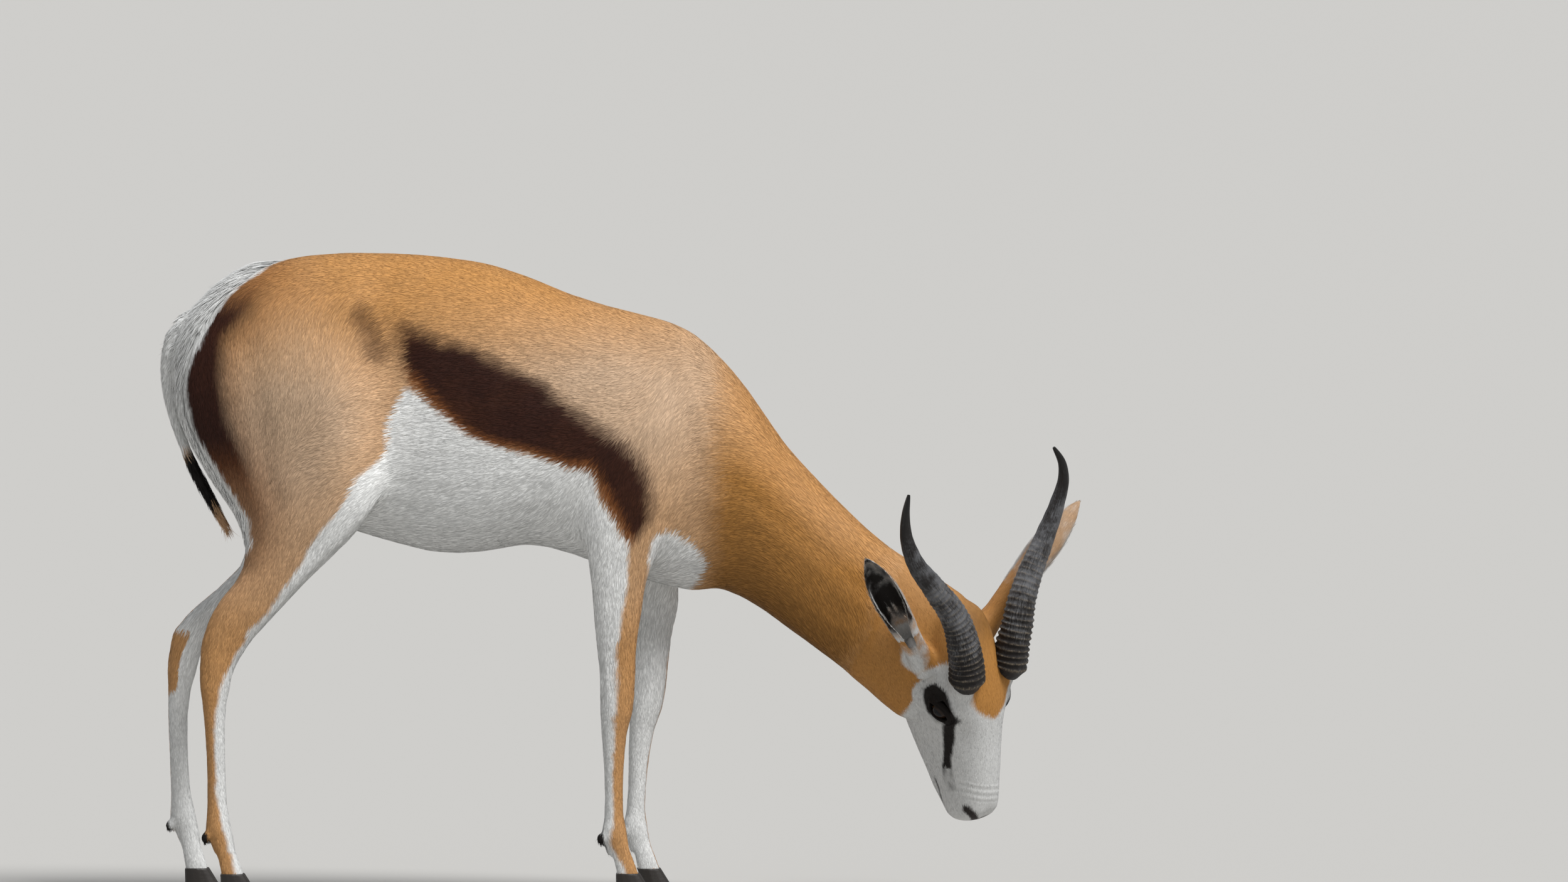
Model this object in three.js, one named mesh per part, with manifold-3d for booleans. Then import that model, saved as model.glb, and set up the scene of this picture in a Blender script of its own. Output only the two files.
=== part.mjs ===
// Springbok ram, life size, head lowered to graze and turned towards its right.
// Millimetres. +X towards the chest, +Y to the animal's left, +Z up, soles on Z = 0.
// The body is lofted whole from cross-sections, joined, and parted again with thin cuts.
import * as THREE from 'three';
import { mergeVertices } from 'three/addons/utils/BufferGeometryUtils.js';
import Module from 'manifold-3d';

// Driving dimensions
const CUT = 0.3; // gap between neighbouring pieces
const HOOF_HEIGHT = 40;
const HOOF_TOE_SLOPE = 0.62; // forward run of the toe for each unit of drop
const CLAW_SPREAD = 10.2; // claw centre from the middle of the foot
const CLAW_LENGTH = 15; // half, at the coronet
const CLAW_WIDTH = 8.6; // half
const EYE_RADIUS = 14;
const EYE_SPACING = 45.5; // eyeball centre from the middle of the head
const LID_THICKNESS = 2.6;
const HORN_BASE_RADIUS = 22;
const HORN_TIP_RADIUS = 2.6;
const HORN_RIDGES = 11;
const EAR_THICKNESS = 3;
const TAIL_ROOT_RADIUS = 13;

// Head placement: the point between the eyes, and the ways that the nose and the forehead point
const HEAD_AT = new THREE.Vector3(657.5, -8, 255.6);
const NOSE_WAY = new THREE.Vector3(0.15, 0.14, -0.979);
const FOREHEAD_WAY = new THREE.Vector3(0.6885, -0.726, 0.002);

const wasm = await Module();
wasm.setup();

// Small helpers

const vec = (x, y, z) => new THREE.Vector3(x, y, z);

/** Cubic interpolation of rows of named numbers, spaced by the distance between their first points. */
function smoothRows(rows, count) {
  const keys = Object.keys(rows[0]);
  const at = [0];
  for (let i = 1; i < rows.length; i++) {
    const a = rows[i - 1];
    const b = rows[i];
    const upper = Math.hypot(b.ax - a.ax, b.ay - a.ay, b.az - a.az);
    const lower = Math.hypot(b.bx - a.bx, b.by - a.by, b.bz - a.bz);
    at.push(at[i - 1] + (upper + lower) / 2);
  }
  const slope = (key, i) => {
    const lo = Math.max(i - 1, 0);
    const hi = Math.min(i + 1, rows.length - 1);
    return (rows[hi][key] - rows[lo][key]) / (at[hi] - at[lo]);
  };
  const out = [];
  for (let k = 0; k < count; k++) {
    const s = (at[at.length - 1] * k) / (count - 1);
    let i = 0;
    while (i < rows.length - 2 && at[i + 1] < s) i++;
    const h = at[i + 1] - at[i];
    const t = (s - at[i]) / h;
    const row = {};
    for (const key of keys) {
      const m0 = slope(key, i) * h;
      const m1 = slope(key, i + 1) * h;
      const t2 = t * t;
      const t3 = t2 * t;
      row[key] =
        (2 * t3 - 3 * t2 + 1) * rows[i][key] + (t3 - 2 * t2 + t) * m0 +
        (3 * t2 - 2 * t3) * rows[i + 1][key] + (t3 - t2) * m1;
    }
    out.push(row);
  }
  return out;
}

/**
 * One cross-section: two opposite points a and b, the half width across them, how far the widest line
 * lies from the middle towards a (-1 to 1), and the roundness exponents of the a and b halves.
 */
function section(a, b, half, { wide = 0, na = 2.1, nb = 2.1 } = {}) {
  return { ax: a[0], ay: a[1], az: a[2], bx: b[0], by: b[1], bz: b[2], half, wide, na, nb };
}

const signedPower = (value, power) => Math.sign(value) * Math.abs(value) ** power;

/** Points round each section, square to the line between its a and b points and to the loft's run. */
function ringsOf(rows, sides) {
  const middles = rows.map((r) => vec((r.ax + r.bx) / 2, (r.ay + r.by) / 2, (r.az + r.bz) / 2));
  return rows.map((row, i) => {
    const run = middles[Math.min(i + 1, rows.length - 1)].clone().sub(middles[Math.max(i - 1, 0)]);
    const long = vec((row.ax - row.bx) / 2, (row.ay - row.by) / 2, (row.az - row.bz) / 2);
    const across = long.clone().cross(run).normalize().multiplyScalar(row.half);
    const ring = [];
    for (let k = 0; k < sides; k++) {
      const angle = (2 * Math.PI * k) / sides;
      const power = 2 / (Math.cos(angle) > 0 ? row.na : row.nb);
      const c = signedPower(Math.cos(angle), power);
      const s = signedPower(Math.sin(angle), power);
      const along = row.wide + (c > 0 ? c * (1 - row.wide) : c * (1 + row.wide));
      ring.push(middles[i].clone().addScaledVector(long, along).addScaledVector(across, s));
    }
    return ring;
  });
}

/** Pushes ring points out of their section's middle near each named swelling. */
function swell(rings, swellings) {
  for (const ring of rings) {
    const middle = ring.reduce((sum, p) => sum.add(p), vec(0, 0, 0)).divideScalar(ring.length);
    for (const p of ring) {
      const out = p.clone().sub(middle).normalize();
      let push = 0;
      for (const { at, reach, by } of swellings) {
        const d = p.clone().sub(vec(...at)).divide(vec(...reach)).lengthSq();
        push += by * Math.exp(-d);
      }
      p.addScaledVector(out, push);
    }
  }
  return rings;
}

/** Closed skin over rings of equal count, with a fan over each end. */
function skinOver(rings) {
  const sides = rings[0].length;
  const points = rings.flat();
  const index = [];
  for (let i = 0; i + 1 < rings.length; i++) {
    for (let k = 0; k < sides; k++) {
      const a = i * sides + k;
      const b = i * sides + ((k + 1) % sides);
      index.push(a, b, b + sides, a, b + sides, a + sides);
    }
  }
  const cap = (ring, start, flip) => {
    const middle = ring.reduce((sum, p) => sum.add(p), vec(0, 0, 0)).divideScalar(sides);
    const hub = points.push(middle) - 1;
    for (let k = 0; k < sides; k++) {
      const a = start + k;
      const b = start + ((k + 1) % sides);
      if (flip) index.push(hub, b, a);
      else index.push(hub, a, b);
    }
  };
  cap(rings[0], 0, true);
  cap(rings[rings.length - 1], (rings.length - 1) * sides, false);
  const geometry = new THREE.BufferGeometry().setFromPoints(points);
  geometry.setIndex(index);
  return geometry;
}

/** A closed geometry as a solid, turned so that its faces point out. */
function solidOf(geometry) {
  const bare = geometry.clone();
  bare.deleteAttribute('normal');
  bare.deleteAttribute('uv');
  const merged = mergeVertices(bare, 1e-4);
  const vertProperties = new Float32Array(merged.attributes.position.array);
  const triVerts = new Uint32Array(merged.index.array);
  let volume = 0;
  const corner = (i) => vec(...vertProperties.slice(3 * i, 3 * i + 3));
  for (let t = 0; t < triVerts.length; t += 3) {
    volume += corner(triVerts[t]).dot(corner(triVerts[t + 1]).cross(corner(triVerts[t + 2])));
  }
  if (volume < 0) {
    for (let t = 0; t < triVerts.length; t += 3) {
      [triVerts[t + 1], triVerts[t + 2]] = [triVerts[t + 2], triVerts[t + 1]];
    }
  }
  return new wasm.Manifold(new wasm.Mesh({ numProp: 3, vertProperties, triVerts }));
}

function geometryOf(solid) {
  const { vertProperties, triVerts } = solid.getMesh();
  const geometry = new THREE.BufferGeometry();
  geometry.setAttribute('position', new THREE.BufferAttribute(new Float32Array(vertProperties), 3));
  geometry.setIndex(new THREE.BufferAttribute(new Uint32Array(triVerts), 1));
  geometry.computeVertexNormals();
  return geometry;
}

const join = (solids) => solids.reduce((whole, solid) => whole.add(solid));

/** The largest closed surface of a solid. */
function largest(solid) {
  return solid.decompose().reduce((best, piece) => (piece.volume() > best.volume() ? piece : best));
}

/** A thin plate that parts what it crosses. */
function plate(at, way, size, across = size) {
  const geometry = new THREE.BoxGeometry(size, across, CUT);
  const turn = new THREE.Quaternion().setFromUnitVectors(vec(0, 0, 1), way.clone().normalize());
  geometry.applyQuaternion(turn);
  geometry.translate(at.x, at.y, at.z);
  return solidOf(geometry);
}

/** The piece of a parted solid that holds a point. */
function pieceAt(pieces, at) {
  const probe = new THREE.BoxGeometry(0.5, 0.5, 0.5);
  probe.translate(at.x, at.y, at.z);
  const inside = solidOf(probe);
  return pieces.find((piece) => !piece.intersect(inside).isEmpty());
}

function ellipsoid(at, radii, across = 14, down = 9) {
  const geometry = new THREE.SphereGeometry(1, across, down);
  geometry.scale(radii[0], radii[1], radii[2]);
  geometry.translate(at[0], at[1], at[2]);
  return geometry;
}

/** A round or flattened tube along a curve; radii(t) gives the half sizes across the curve. */
function tubeAlong(curve, steps, sides, radii, up = null) {
  const frames = curve.computeFrenetFrames(steps, false);
  const rings = [];
  for (let i = 0; i <= steps; i++) {
    const t = i / steps;
    const middle = curve.getPointAt(t);
    let first = frames.normals[i];
    let second = frames.binormals[i];
    if (up) {
      second = up.clone().cross(frames.tangents[i]).normalize();
      first = frames.tangents[i].clone().cross(second).normalize();
    }
    const [ra, rb] = radii(t);
    const ring = [];
    for (let k = 0; k < sides; k++) {
      const angle = (2 * Math.PI * k) / sides;
      ring.push(middle.clone()
        .addScaledVector(first, ra * Math.cos(angle))
        .addScaledVector(second, rb * Math.sin(angle)));
    }
    rings.push(ring);
  }
  return skinOver(rings);
}

// Trunk: top point, bottom point and half width of each upright section, from rump to chest

const TRUNK_SIDES = 28;
const TRUNK_RINGS = 30;

function trunkRow(topX, topZ, lowX, lowZ, half, options) {
  return section([topX, 0, topZ], [lowX, 0, lowZ], half, options);
}

const TRUNK = [
  trunkRow(-325, 676, -322, 628, 24),
  trunkRow(-318, 700, -308, 582, 48),
  trunkRow(-304, 727, -284, 534, 66),
  trunkRow(-280, 754, -262, 506, 78),
  trunkRow(-246, 780, -236, 490, 86),
  trunkRow(-195, 797, -195, 478, 87),
  trunkRow(-130, 806, -130, 466, 84),
  trunkRow(-65, 806, -65, 446, 87),
  trunkRow(0, 802, 0, 431, 97, { nb: 2.3 }),
  trunkRow(60, 793, 60, 433, 101, { nb: 2.3 }),
  trunkRow(110, 777, 110, 442, 98, { nb: 2.2 }),
  trunkRow(160, 756, 160, 431, 91, { na: 2.0 }),
  trunkRow(210, 741, 212, 411, 85, { na: 1.8, nb: 2.0 }),
  trunkRow(260, 729, 264, 394, 82, { na: 1.7, nb: 2.0 }),
  trunkRow(300, 717, 306, 384, 76, { na: 1.7, nb: 2.0 }),
  trunkRow(330, 698, 336, 384, 65, { na: 1.8, nb: 2.0 }),
  trunkRow(354, 668, 362, 402, 46, { na: 1.9, nb: 2.0 }),
  trunkRow(370, 636, 378, 432, 24, { na: 2.0, nb: 2.0 }),
];

const TRUNK_SWELLINGS = [
  { side: true, at: [262, 84, 610], reach: [55, 40, 90], by: 7 }, // shoulder blade
  { side: true, at: [210, 84, 545], reach: [45, 40, 55], by: 6 }, // upper arm
  { side: true, at: [-118, 80, 742], reach: [34, 40, 26], by: 6 }, // point of the hip
  { side: true, at: [-60, 88, 690], reach: [45, 30, 45], by: -7 }, // hollow of the flank
];

// Neck: nape point, throat point and half width; its head end turns with the head

const NECK = [
  section([285, 0, 716], [292, 0, 392], 66, { na: 1.8 }),
  section([330, 0, 694], [345, 0, 388], 72, { na: 1.8 }),
  section([372, 0, 652], [388, 0, 368], 68, { na: 1.9 }),
  section([424, -1, 577], [436, 2, 333], 59, { na: 2.0 }),
  section([486, -3, 508], [484, 6, 298], 52),
  section([545, -8, 452], [523, 12, 268], 48),
  section([604, -12, 411], [556, 16, 239], 45),
  section([646, -12, 384], [584, 22, 222], 40),
  section([668, -10, 352], [608, 22, 236], 24),
];

// Legs: front point, back point, sideways middle and half width, from the body down to the fetlock

function limbRow(frontX, frontZ, backX, backZ, y, half, options = {}) {
  const lean = options.lean ?? 0; // how much further out the front edge lies than the middle
  return section([frontX, y + lean, frontZ], [backX, y - lean, backZ], half, options);
}

const FORELEG = [
  limbRow(290, 668, 224, 672, 34, 10),
  limbRow(318, 604, 200, 606, 52, 24),
  limbRow(322, 545, 180, 540, 60, 28),
  limbRow(302, 490, 173, 494, 62, 28),
  limbRow(275, 440, 179, 444, 59, 25),
  limbRow(261, 402, 184, 404, 57, 22),
  limbRow(255, 367, 188, 367, 55, 20),
  limbRow(249, 335, 191, 335, 54, 18),
  limbRow(246, 298, 195, 298, 52, 17),
  limbRow(245, 264, 197, 262, 51, 19),
  limbRow(243, 247, 198, 246, 51, 19.5),
  limbRow(239, 232, 199, 231, 51, 18),
  limbRow(234, 214, 200, 214, 51, 15.5),
  limbRow(231, 187, 202, 187, 50.5, 13.5),
  limbRow(229, 150, 204, 150, 50, 12),
  limbRow(229, 114, 204, 112, 50, 12.5),
  limbRow(233, 94, 200, 90, 50, 16),
  limbRow(235, 78, 202, 72, 50, 16),
  limbRow(234, 66, 208, 60, 50, 13),
];

const HINDLEG = [
  limbRow(-128, 762, -244, 758, 26, 16),
  limbRow(-84, 708, -306, 700, 42, 38, { lean: 6, na: 1.9 }),
  limbRow(-50, 641, -326, 640, 51, 47, { lean: 12, na: 1.8 }),
  limbRow(-45, 572, -319, 592, 54, 47, { lean: 16, na: 1.7 }),
  limbRow(-61, 516, -290, 536, 57, 44, { lean: 16, na: 1.7 }),
  limbRow(-99, 456, -252, 480, 60, 38, { lean: 12, na: 1.9 }),
  limbRow(-137, 421, -239, 438, 62, 31, { lean: 6 }),
  limbRow(-171, 388, -246, 408, 62, 27, { lean: 3 }),
  limbRow(-201, 354, -268, 384, 62, 24),
  limbRow(-226, 328, -284, 358, 61, 21),
  limbRow(-240, 306, -293, 332, 60, 18.5),
  limbRow(-250, 288, -299, 300, 60, 18),
  limbRow(-255, 270, -295, 274, 60, 18),
  limbRow(-260, 250, -292, 252, 59.5, 16),
  limbRow(-262, 220, -289, 221, 59, 14),
  limbRow(-261, 165, -286, 165, 58, 12.5),
  limbRow(-259, 118, -286, 116, 58, 13),
  limbRow(-254, 96, -288, 92, 57.5, 16.5),
  limbRow(-250, 80, -284, 74, 57.5, 16.5),
  limbRow(-249, 68, -276, 62, 57.5, 13.5),
];

// Stance: how far a leg's points move forward and up at a few heights, joined smoothly

const AS_DRAWN = [[0, 0, 0], [800, 0, 0]];
const FAR_FORELEG = [[0, 24, 0], [80, 24, 0], [180, 30, 0], [250, 37, 0], [370, 45, 0], [560, 8, 0], [800, 0, 0]];
const FAR_HINDLEG = [
  [0, -44, 0], [84, -48, 8], [200, -52, 14], [300, -42, 20],
  [332, -31, 18], [358, -15, 12], [384, -5, 8], [450, -2, 3], [600, 0, 0], [800, 0, 0],
];

function stanceAt(stance, height) {
  let i = 0;
  while (i < stance.length - 2 && stance[i + 1][0] < height) i++;
  const [z0, x0, u0] = stance[i];
  const [z1, x1, u1] = stance[i + 1];
  const t = THREE.MathUtils.clamp((height - z0) / (z1 - z0), 0, 1);
  return { forward: THREE.MathUtils.lerp(x0, x1, t), up: THREE.MathUtils.lerp(u0, u1, t) };
}

/** A leg's rows moved into its stance, on the side given (1 left, -1 right). */
function limbRows(rows, side, stance) {
  return rows.map((row) => {
    const a = stanceAt(stance, row.az);
    const b = stanceAt(stance, row.bz);
    return {
      ...row,
      ax: row.ax + a.forward, ay: row.ay * side, az: row.az + a.up,
      bx: row.bx + b.forward, by: row.by * side, bz: row.bz + b.up,
    };
  });
}

const LIMB_SIDES = 12;
const LIMB_RINGS = 26;

function limb(rows, side, stance) {
  return solidOf(skinOver(ringsOf(smoothRows(limbRows(rows, side, stance), LIMB_RINGS), LIMB_SIDES)));
}

// Feet: two claws under each fetlock, with a toe above each and two dewclaws behind

const CLAW_SIDES = 12;

/** Outline of one claw at a height, its inner side flatter and its toe drawn to a point lower down. */
function clawRing(foot, claw, height, lift = 0) {
  const drop = 1 - height / HOOF_HEIGHT;
  const heel = -CLAW_LENGTH * (1 - 0.08 * drop);
  const toe = CLAW_LENGTH + HOOF_HEIGHT * drop * HOOF_TOE_SLOPE;
  const ring = [];
  for (let k = 0; k < CLAW_SIDES; k++) {
    const angle = (2 * Math.PI * k) / CLAW_SIDES;
    const along = THREE.MathUtils.lerp(heel, toe, (Math.cos(angle) + 1) / 2);
    const point = Math.max(0, Math.cos(angle));
    const across = (CLAW_WIDTH + 1.2 * drop) * Math.sin(angle) * (1 - 0.3 * drop * point);
    const outward = across * claw > 0 ? across : across * 0.9;
    ring.push(vec(foot.x + along, foot.y + claw * (CLAW_SPREAD + 0.6 * drop) + outward, height + lift));
  }
  return ring;
}

function hoof(foot, claw) {
  return skinOver([1, 0.6, 0.2, 0].map((share) => clawRing(foot, claw, HOOF_HEIGHT * share)));
}

/** The toe from the fetlock down to its hoof. */
function toe(foot, fetlock, claw) {
  const top = clawRing(foot, claw, HOOF_HEIGHT, CUT);
  const middle = top.reduce((sum, p) => sum.add(p), vec(0, 0, 0)).divideScalar(top.length);
  const start = vec(fetlock.x, fetlock.y + claw * 6.5, fetlock.z + 6);
  const rings = [0, 0.5, 1].map((t) => {
    const centre = start.clone().lerp(middle, t);
    const girth = 1 - 0.16 * Math.sin(Math.PI * t);
    return top.map((p) => p.clone().sub(middle).multiplyScalar(girth).add(centre));
  });
  return solidOf(skinOver(rings));
}

function footSolids(rows) {
  const last = rows[rows.length - 3];
  const fetlock = vec((last.ax + last.bx) / 2, (last.ay + last.by) / 2, (last.az + last.bz) / 2);
  const foot = vec(fetlock.x + 17, fetlock.y, 0);
  const toes = [1, -1].map((claw) => toe(foot, fetlock, claw));
  const dewclaws = [1, -1].map((claw) =>
    solidOf(ellipsoid([fetlock.x - 17, fetlock.y + claw * 9, fetlock.z - 10], [6.5, 5, 9], 7, 5)));
  return { foot, solids: [...toes, ...dewclaws] };
}

// Head, modelled in its own frame: +X to the nose, +Y to the animal's left, +Z out of the forehead

const headFrame = (() => {
  const nose = NOSE_WAY.clone().normalize();
  const left = FOREHEAD_WAY.clone().cross(nose).normalize();
  const forehead = nose.clone().cross(left).normalize();
  return new THREE.Matrix4().makeBasis(nose, left, forehead).setPosition(HEAD_AT);
})();

const inHead = (x, y, z) => vec(x, y, z).applyMatrix4(headFrame);
const inHeadWay = (x, y, z) => vec(x, y, z).transformDirection(headFrame);

function headRow(x, top, low, half, options) {
  return section([x, 0, top], [x, 0, low], half, options);
}

const HEAD = [
  headRow(-122, 4, -40, 22),
  headRow(-108, 27, -64, 35),
  headRow(-86, 38, -82, 42),
  headRow(-60, 43, -96, 46),
  headRow(-35, 44, -104, 49, { wide: 0.06 }),
  headRow(-8, 42, -110, 51, { wide: 0.12, na: 2.3, nb: 2.0 }),
  headRow(18, 38, -110, 48, { wide: 0.1, na: 2.3, nb: 2.0 }),
  headRow(42, 32, -105, 43, { wide: 0.08, na: 2.4, nb: 2.0 }),
  headRow(66, 26, -97, 39, { na: 2.4, nb: 2.0 }),
  headRow(90, 20, -88, 36, { na: 2.4, nb: 2.0 }),
  headRow(112, 14, -80, 33.5, { na: 2.4, nb: 2.1 }),
  headRow(130, 9, -71, 31.5, { na: 2.4, nb: 2.1 }),
  headRow(144, 2, -63, 28.5, { na: 2.4, nb: 2.1 }),
  headRow(153, -6, -55, 22.5, { na: 2.2, nb: 2.1 }),
  headRow(158, -17, -45, 12),
];

const HEAD_SWELLINGS = [
  { side: true, at: [3, 50, 5], reach: [24, 26, 22], by: 9 }, // orbit
  { side: true, at: [-10, 46, 26], reach: [22, 18, 14], by: 7 }, // brow
  { side: true, at: [38, 38, 12], reach: [22, 18, 14], by: -3.5 }, // hollow before the eye
  { side: false, at: [12, 0, 37], reach: [34, 18, 12], by: 2 }, // forehead
  { side: true, at: [14, 38, -62], reach: [34, 18, 28], by: 4 }, // cheek and jaw angle
  { side: true, at: [96, 30, -22], reach: [26, 14, 14], by: 1.5 }, // side of the nose
  { side: true, at: [120, 30, -58], reach: [26, 16, 8], by: -2.5 }, // hollow under the upper lip
  { side: true, at: [136, 28, -40], reach: [18, 14, 9], by: 3.5 }, // upper lip
  { side: false, at: [146, 0, -62], reach: [16, 16, 10], by: 3 }, // chin
  { side: true, at: [150, 15, -6], reach: [13, 9, 9], by: 3.5 }, // wing of the nostril
  { side: false, at: [158, 0, -18], reach: [10, 5, 16], by: -2 }, // furrow between the nostrils
];

/** Both sides of each paired swelling. */
function bothSides(swellings) {
  return swellings.flatMap((one) => {
    if (!one.side) return [one];
    return [1, -1].map((side) => ({ ...one, at: [one.at[0], one.at[1] * side, one.at[2]] }));
  });
}

const HEAD_SIDES = 28;
const HEAD_RINGS = 29;

const headRings = swell(ringsOf(smoothRows(HEAD, HEAD_RINGS), HEAD_SIDES), bothSides(HEAD_SWELLINGS));

/** Rings a little larger than those given. */
function grown(rings, by) {
  return rings.map((ring) => {
    const middle = ring.reduce((sum, p) => sum.add(p), vec(0, 0, 0)).divideScalar(ring.length);
    return ring.map((p) => p.clone().addScaledVector(p.clone().sub(middle).normalize(), by));
  });
}

/** The head's half width at a place along it and a height. */
function headSurface(x, z) {
  let best = null;
  for (const ring of headRings) {
    for (const p of ring) {
      if (p.y < 0) continue;
      const d = Math.abs(p.x - x) + Math.abs(p.z - z);
      if (!best || d < best.d) best = { d, y: p.y };
    }
  }
  return best.y;
}

const EYE = { x: 5, z: 2 };
const EYE_OPENING = 13.5; // half its length

/** A low mound over the eyeball, which the lids are cut from. */
function lids(side) {
  const r = EYE_RADIUS + LID_THICKNESS;
  const mound = ellipsoid([0, 0, 0], [r + 7, r, r + 3], 14, 10);
  mound.rotateZ(side * 0.16);
  mound.translate(EYE.x + 1, side * (EYE_SPACING - 1.5), EYE.z);
  return solidOf(mound);
}

/** Upper edge of the opening between the lids, or its lower edge, from the back corner to the front one. */
function lidEdge(upper, t) {
  const half = upper ? 10.5 : 8.5;
  const height = half * Math.sin(Math.PI * t) ** 0.8 * (upper ? 1 : -1);
  return [THREE.MathUtils.lerp(-EYE_OPENING, EYE_OPENING + 2, t), height - 3 * t + 1];
}

function eyeOpening(side) {
  const steps = 8;
  const outline = [];
  for (let i = 0; i < steps; i++) outline.push(lidEdge(true, i / steps));
  for (let i = steps; i > 0; i--) outline.push(lidEdge(false, i / steps));
  const ring = (y) => outline.map(([x, z]) => vec(EYE.x + x, y, EYE.z + z));
  const rings = [ring(side * EYE_SPACING), ring(side * (EYE_SPACING + 40))];
  return solidOf(skinOver(side > 0 ? rings : rings.reverse()));
}

/** A fold of skin over the upper lid, or the thin rim under the lower one. */
function lidFold(side, upper) {
  const reach = EYE_RADIUS + LID_THICKNESS;
  const points = [];
  for (let i = 0; i <= 6; i++) {
    const [x, z] = lidEdge(upper, 0.04 + (0.92 * i) / 6).map((value) => value * (upper ? 1.22 : 1.2));
    const out = Math.sqrt(Math.max(reach ** 2 - (x * 0.8) ** 2 - z ** 2, 20));
    points.push(vec(EYE.x + x, side * (EYE_SPACING - 1.5 + out), EYE.z + z));
  }
  const thick = upper ? 2.6 : 1.8;
  const radii = (t) => [thick * (0.4 + 0.6 * Math.sin(Math.PI * t)), thick * (0.4 + 0.6 * Math.sin(Math.PI * t))];
  return solidOf(tubeAlong(new THREE.CatmullRomCurve3(points), 8, 6, radii));
}

function mouthCut() {
  const MOUTH_CORNER = 100;
  const MOUTH_FRONT = 150;
  const points = [];
  const lip = (x) => -54 + 0.12 * (x - MOUTH_CORNER) + 2.5 * Math.sin((x - MOUTH_CORNER) / 14);
  for (let x = MOUTH_CORNER; x <= MOUTH_FRONT; x += 10) {
    points.push(vec(x, headSurface(x, lip(x)) - 0.2, lip(x)));
  }
  const front = vec(158, 0, lip(158));
  const mirrored = points.slice().reverse().map((p) => vec(p.x, -p.y, p.z));
  const curve = new THREE.CatmullRomCurve3([...points, front, ...mirrored]);
  return solidOf(tubeAlong(curve, 22, 5, () => [1.6, 1.6]));
}

function nostrilCut(side) {
  const curve = new THREE.CatmullRomCurve3([
    vec(160, side * 7.5, -22), vec(159, side * 11, -15), vec(154, side * 17, -9), vec(146, side * 23, -7),
    vec(139, side * 27, -11),
  ]);
  return solidOf(tubeAlong(curve, 7, 7, (t) => [4.4 - 2.8 * t, 4.4 - 2.8 * t]));
}

function headSolid() {
  let head = solidOf(skinOver(headRings));
  for (const side of [1, -1]) {
    head = head.add(lids(side)).add(lidFold(side, true)).add(lidFold(side, false)).subtract(eyeOpening(side));
    const clear = EYE_RADIUS + CUT;
    head = head.subtract(solidOf(ellipsoid([EYE.x, side * EYE_SPACING, EYE.z], [clear, clear, clear], 14, 10)));
    head = head.subtract(nostrilCut(side));
  }
  head = head.subtract(mouthCut());
  return largest(head).transform(headFrame.elements);
}

function eyeball(side) {
  const r = EYE_RADIUS;
  return ellipsoid([EYE.x, side * EYE_SPACING, EYE.z], [r, r, r], 14, 10);
}

// Horns: a lyre-shaped curve in the head's frame, ringed over its lower part

function hornCurve(side) {
  const points = [
    [-11, 29, 12], [-33.5, 37, 37], [-58, 41, 45], [-82.5, 48, 51], [-106.5, 55.5, 55.5], [-130, 68, 58],
    [-151.5, 83.5, 60], [-195.5, 117, 65], [-219.5, 130, 70], [-243, 138, 76], [-266.5, 137, 80],
    [-288.5, 127, 80],
  ];
  return new THREE.CatmullRomCurve3(points.map(([x, y, z]) => inHead(x, y * side, z)));
}

const HORN_STEPS = 44;
const HORN_SIDES = 10;
const HORN_RINGED = [7 / 44, 29 / 44]; // share of the horn's length between which it is ringed
const HORN_FOOT = 0.1; // where the horn leaves the skin
const HORN_ROOT_SHARE = 0.45; // thickness of its buried end

function hornSolid(side) {
  const radii = (t) => {
    const taper = (1 - t) ** 0.62;
    const ringed = (t - HORN_RINGED[0]) / (HORN_RINGED[1] - HORN_RINGED[0]);
    const fade = ringed > 0 && ringed < 1 ? 1 - ringed * 0.7 : 0;
    const ridge = fade * 1.7 * Math.cos(2 * Math.PI * HORN_RIDGES * ringed);
    const root = Math.min(1, HORN_ROOT_SHARE + t / HORN_FOOT);
    const r = (HORN_TIP_RADIUS + (HORN_BASE_RADIUS - HORN_TIP_RADIUS) * taper) * root + ridge;
    return [r, r * 0.94];
  };
  const skull = solidOf(skinOver(grown(headRings, CUT * 1.5))).transform(headFrame.elements);
  return largest(solidOf(tubeAlong(hornCurve(side), HORN_STEPS, HORN_SIDES, radii)).subtract(skull));
}

// Ears: a curled leaf, almost a tube at its root and opening towards the tip

const EAR_RIGHT = { root: [-74, -60, -21], tip: [-208, -140, 0], facing: [-0.06, -0.7, 0.69], bow: 8 };
const EAR_LEFT = { root: [-93, 58, 4], tip: [-207, 181, 55], facing: [0.02, 0.78, -0.57], bow: 8 };
const EAR_STEPS = 12;
const EAR_ARC = 8;
const EAR_FOOT = 0.2; // where the ear's root ends
const EAR_RADIUS = [[0, 16], [0.15, 17], [0.35, 18], [0.5, 19.5], [0.7, 19], [0.88, 13.5], [1, 5]];
const EAR_OPEN = [[0, 168], [0.2, 165], [0.35, 145], [0.5, 112], [0.7, 88], [0.88, 70], [1, 34]];

function along(table, t) {
  let i = 0;
  while (i < table.length - 2 && table[i + 1][0] < t) i++;
  return THREE.MathUtils.mapLinear(t, table[i][0], table[i + 1][0], table[i][1], table[i + 1][1]);
}

function earFrame({ root, tip, facing, bow }) {
  const from = inHead(...root);
  const to = inHead(...tip);
  const way = to.clone().sub(from);
  const open = inHeadWay(...facing);
  open.addScaledVector(way, -open.dot(way) / way.lengthSq()).normalize();
  const across = way.clone().cross(open).normalize();
  const middle = from.clone().lerp(to, 0.5).addScaledVector(open, -bow);
  return { curve: new THREE.QuadraticBezierCurve3(from, middle, to), open, across, way: way.normalize() };
}

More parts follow.
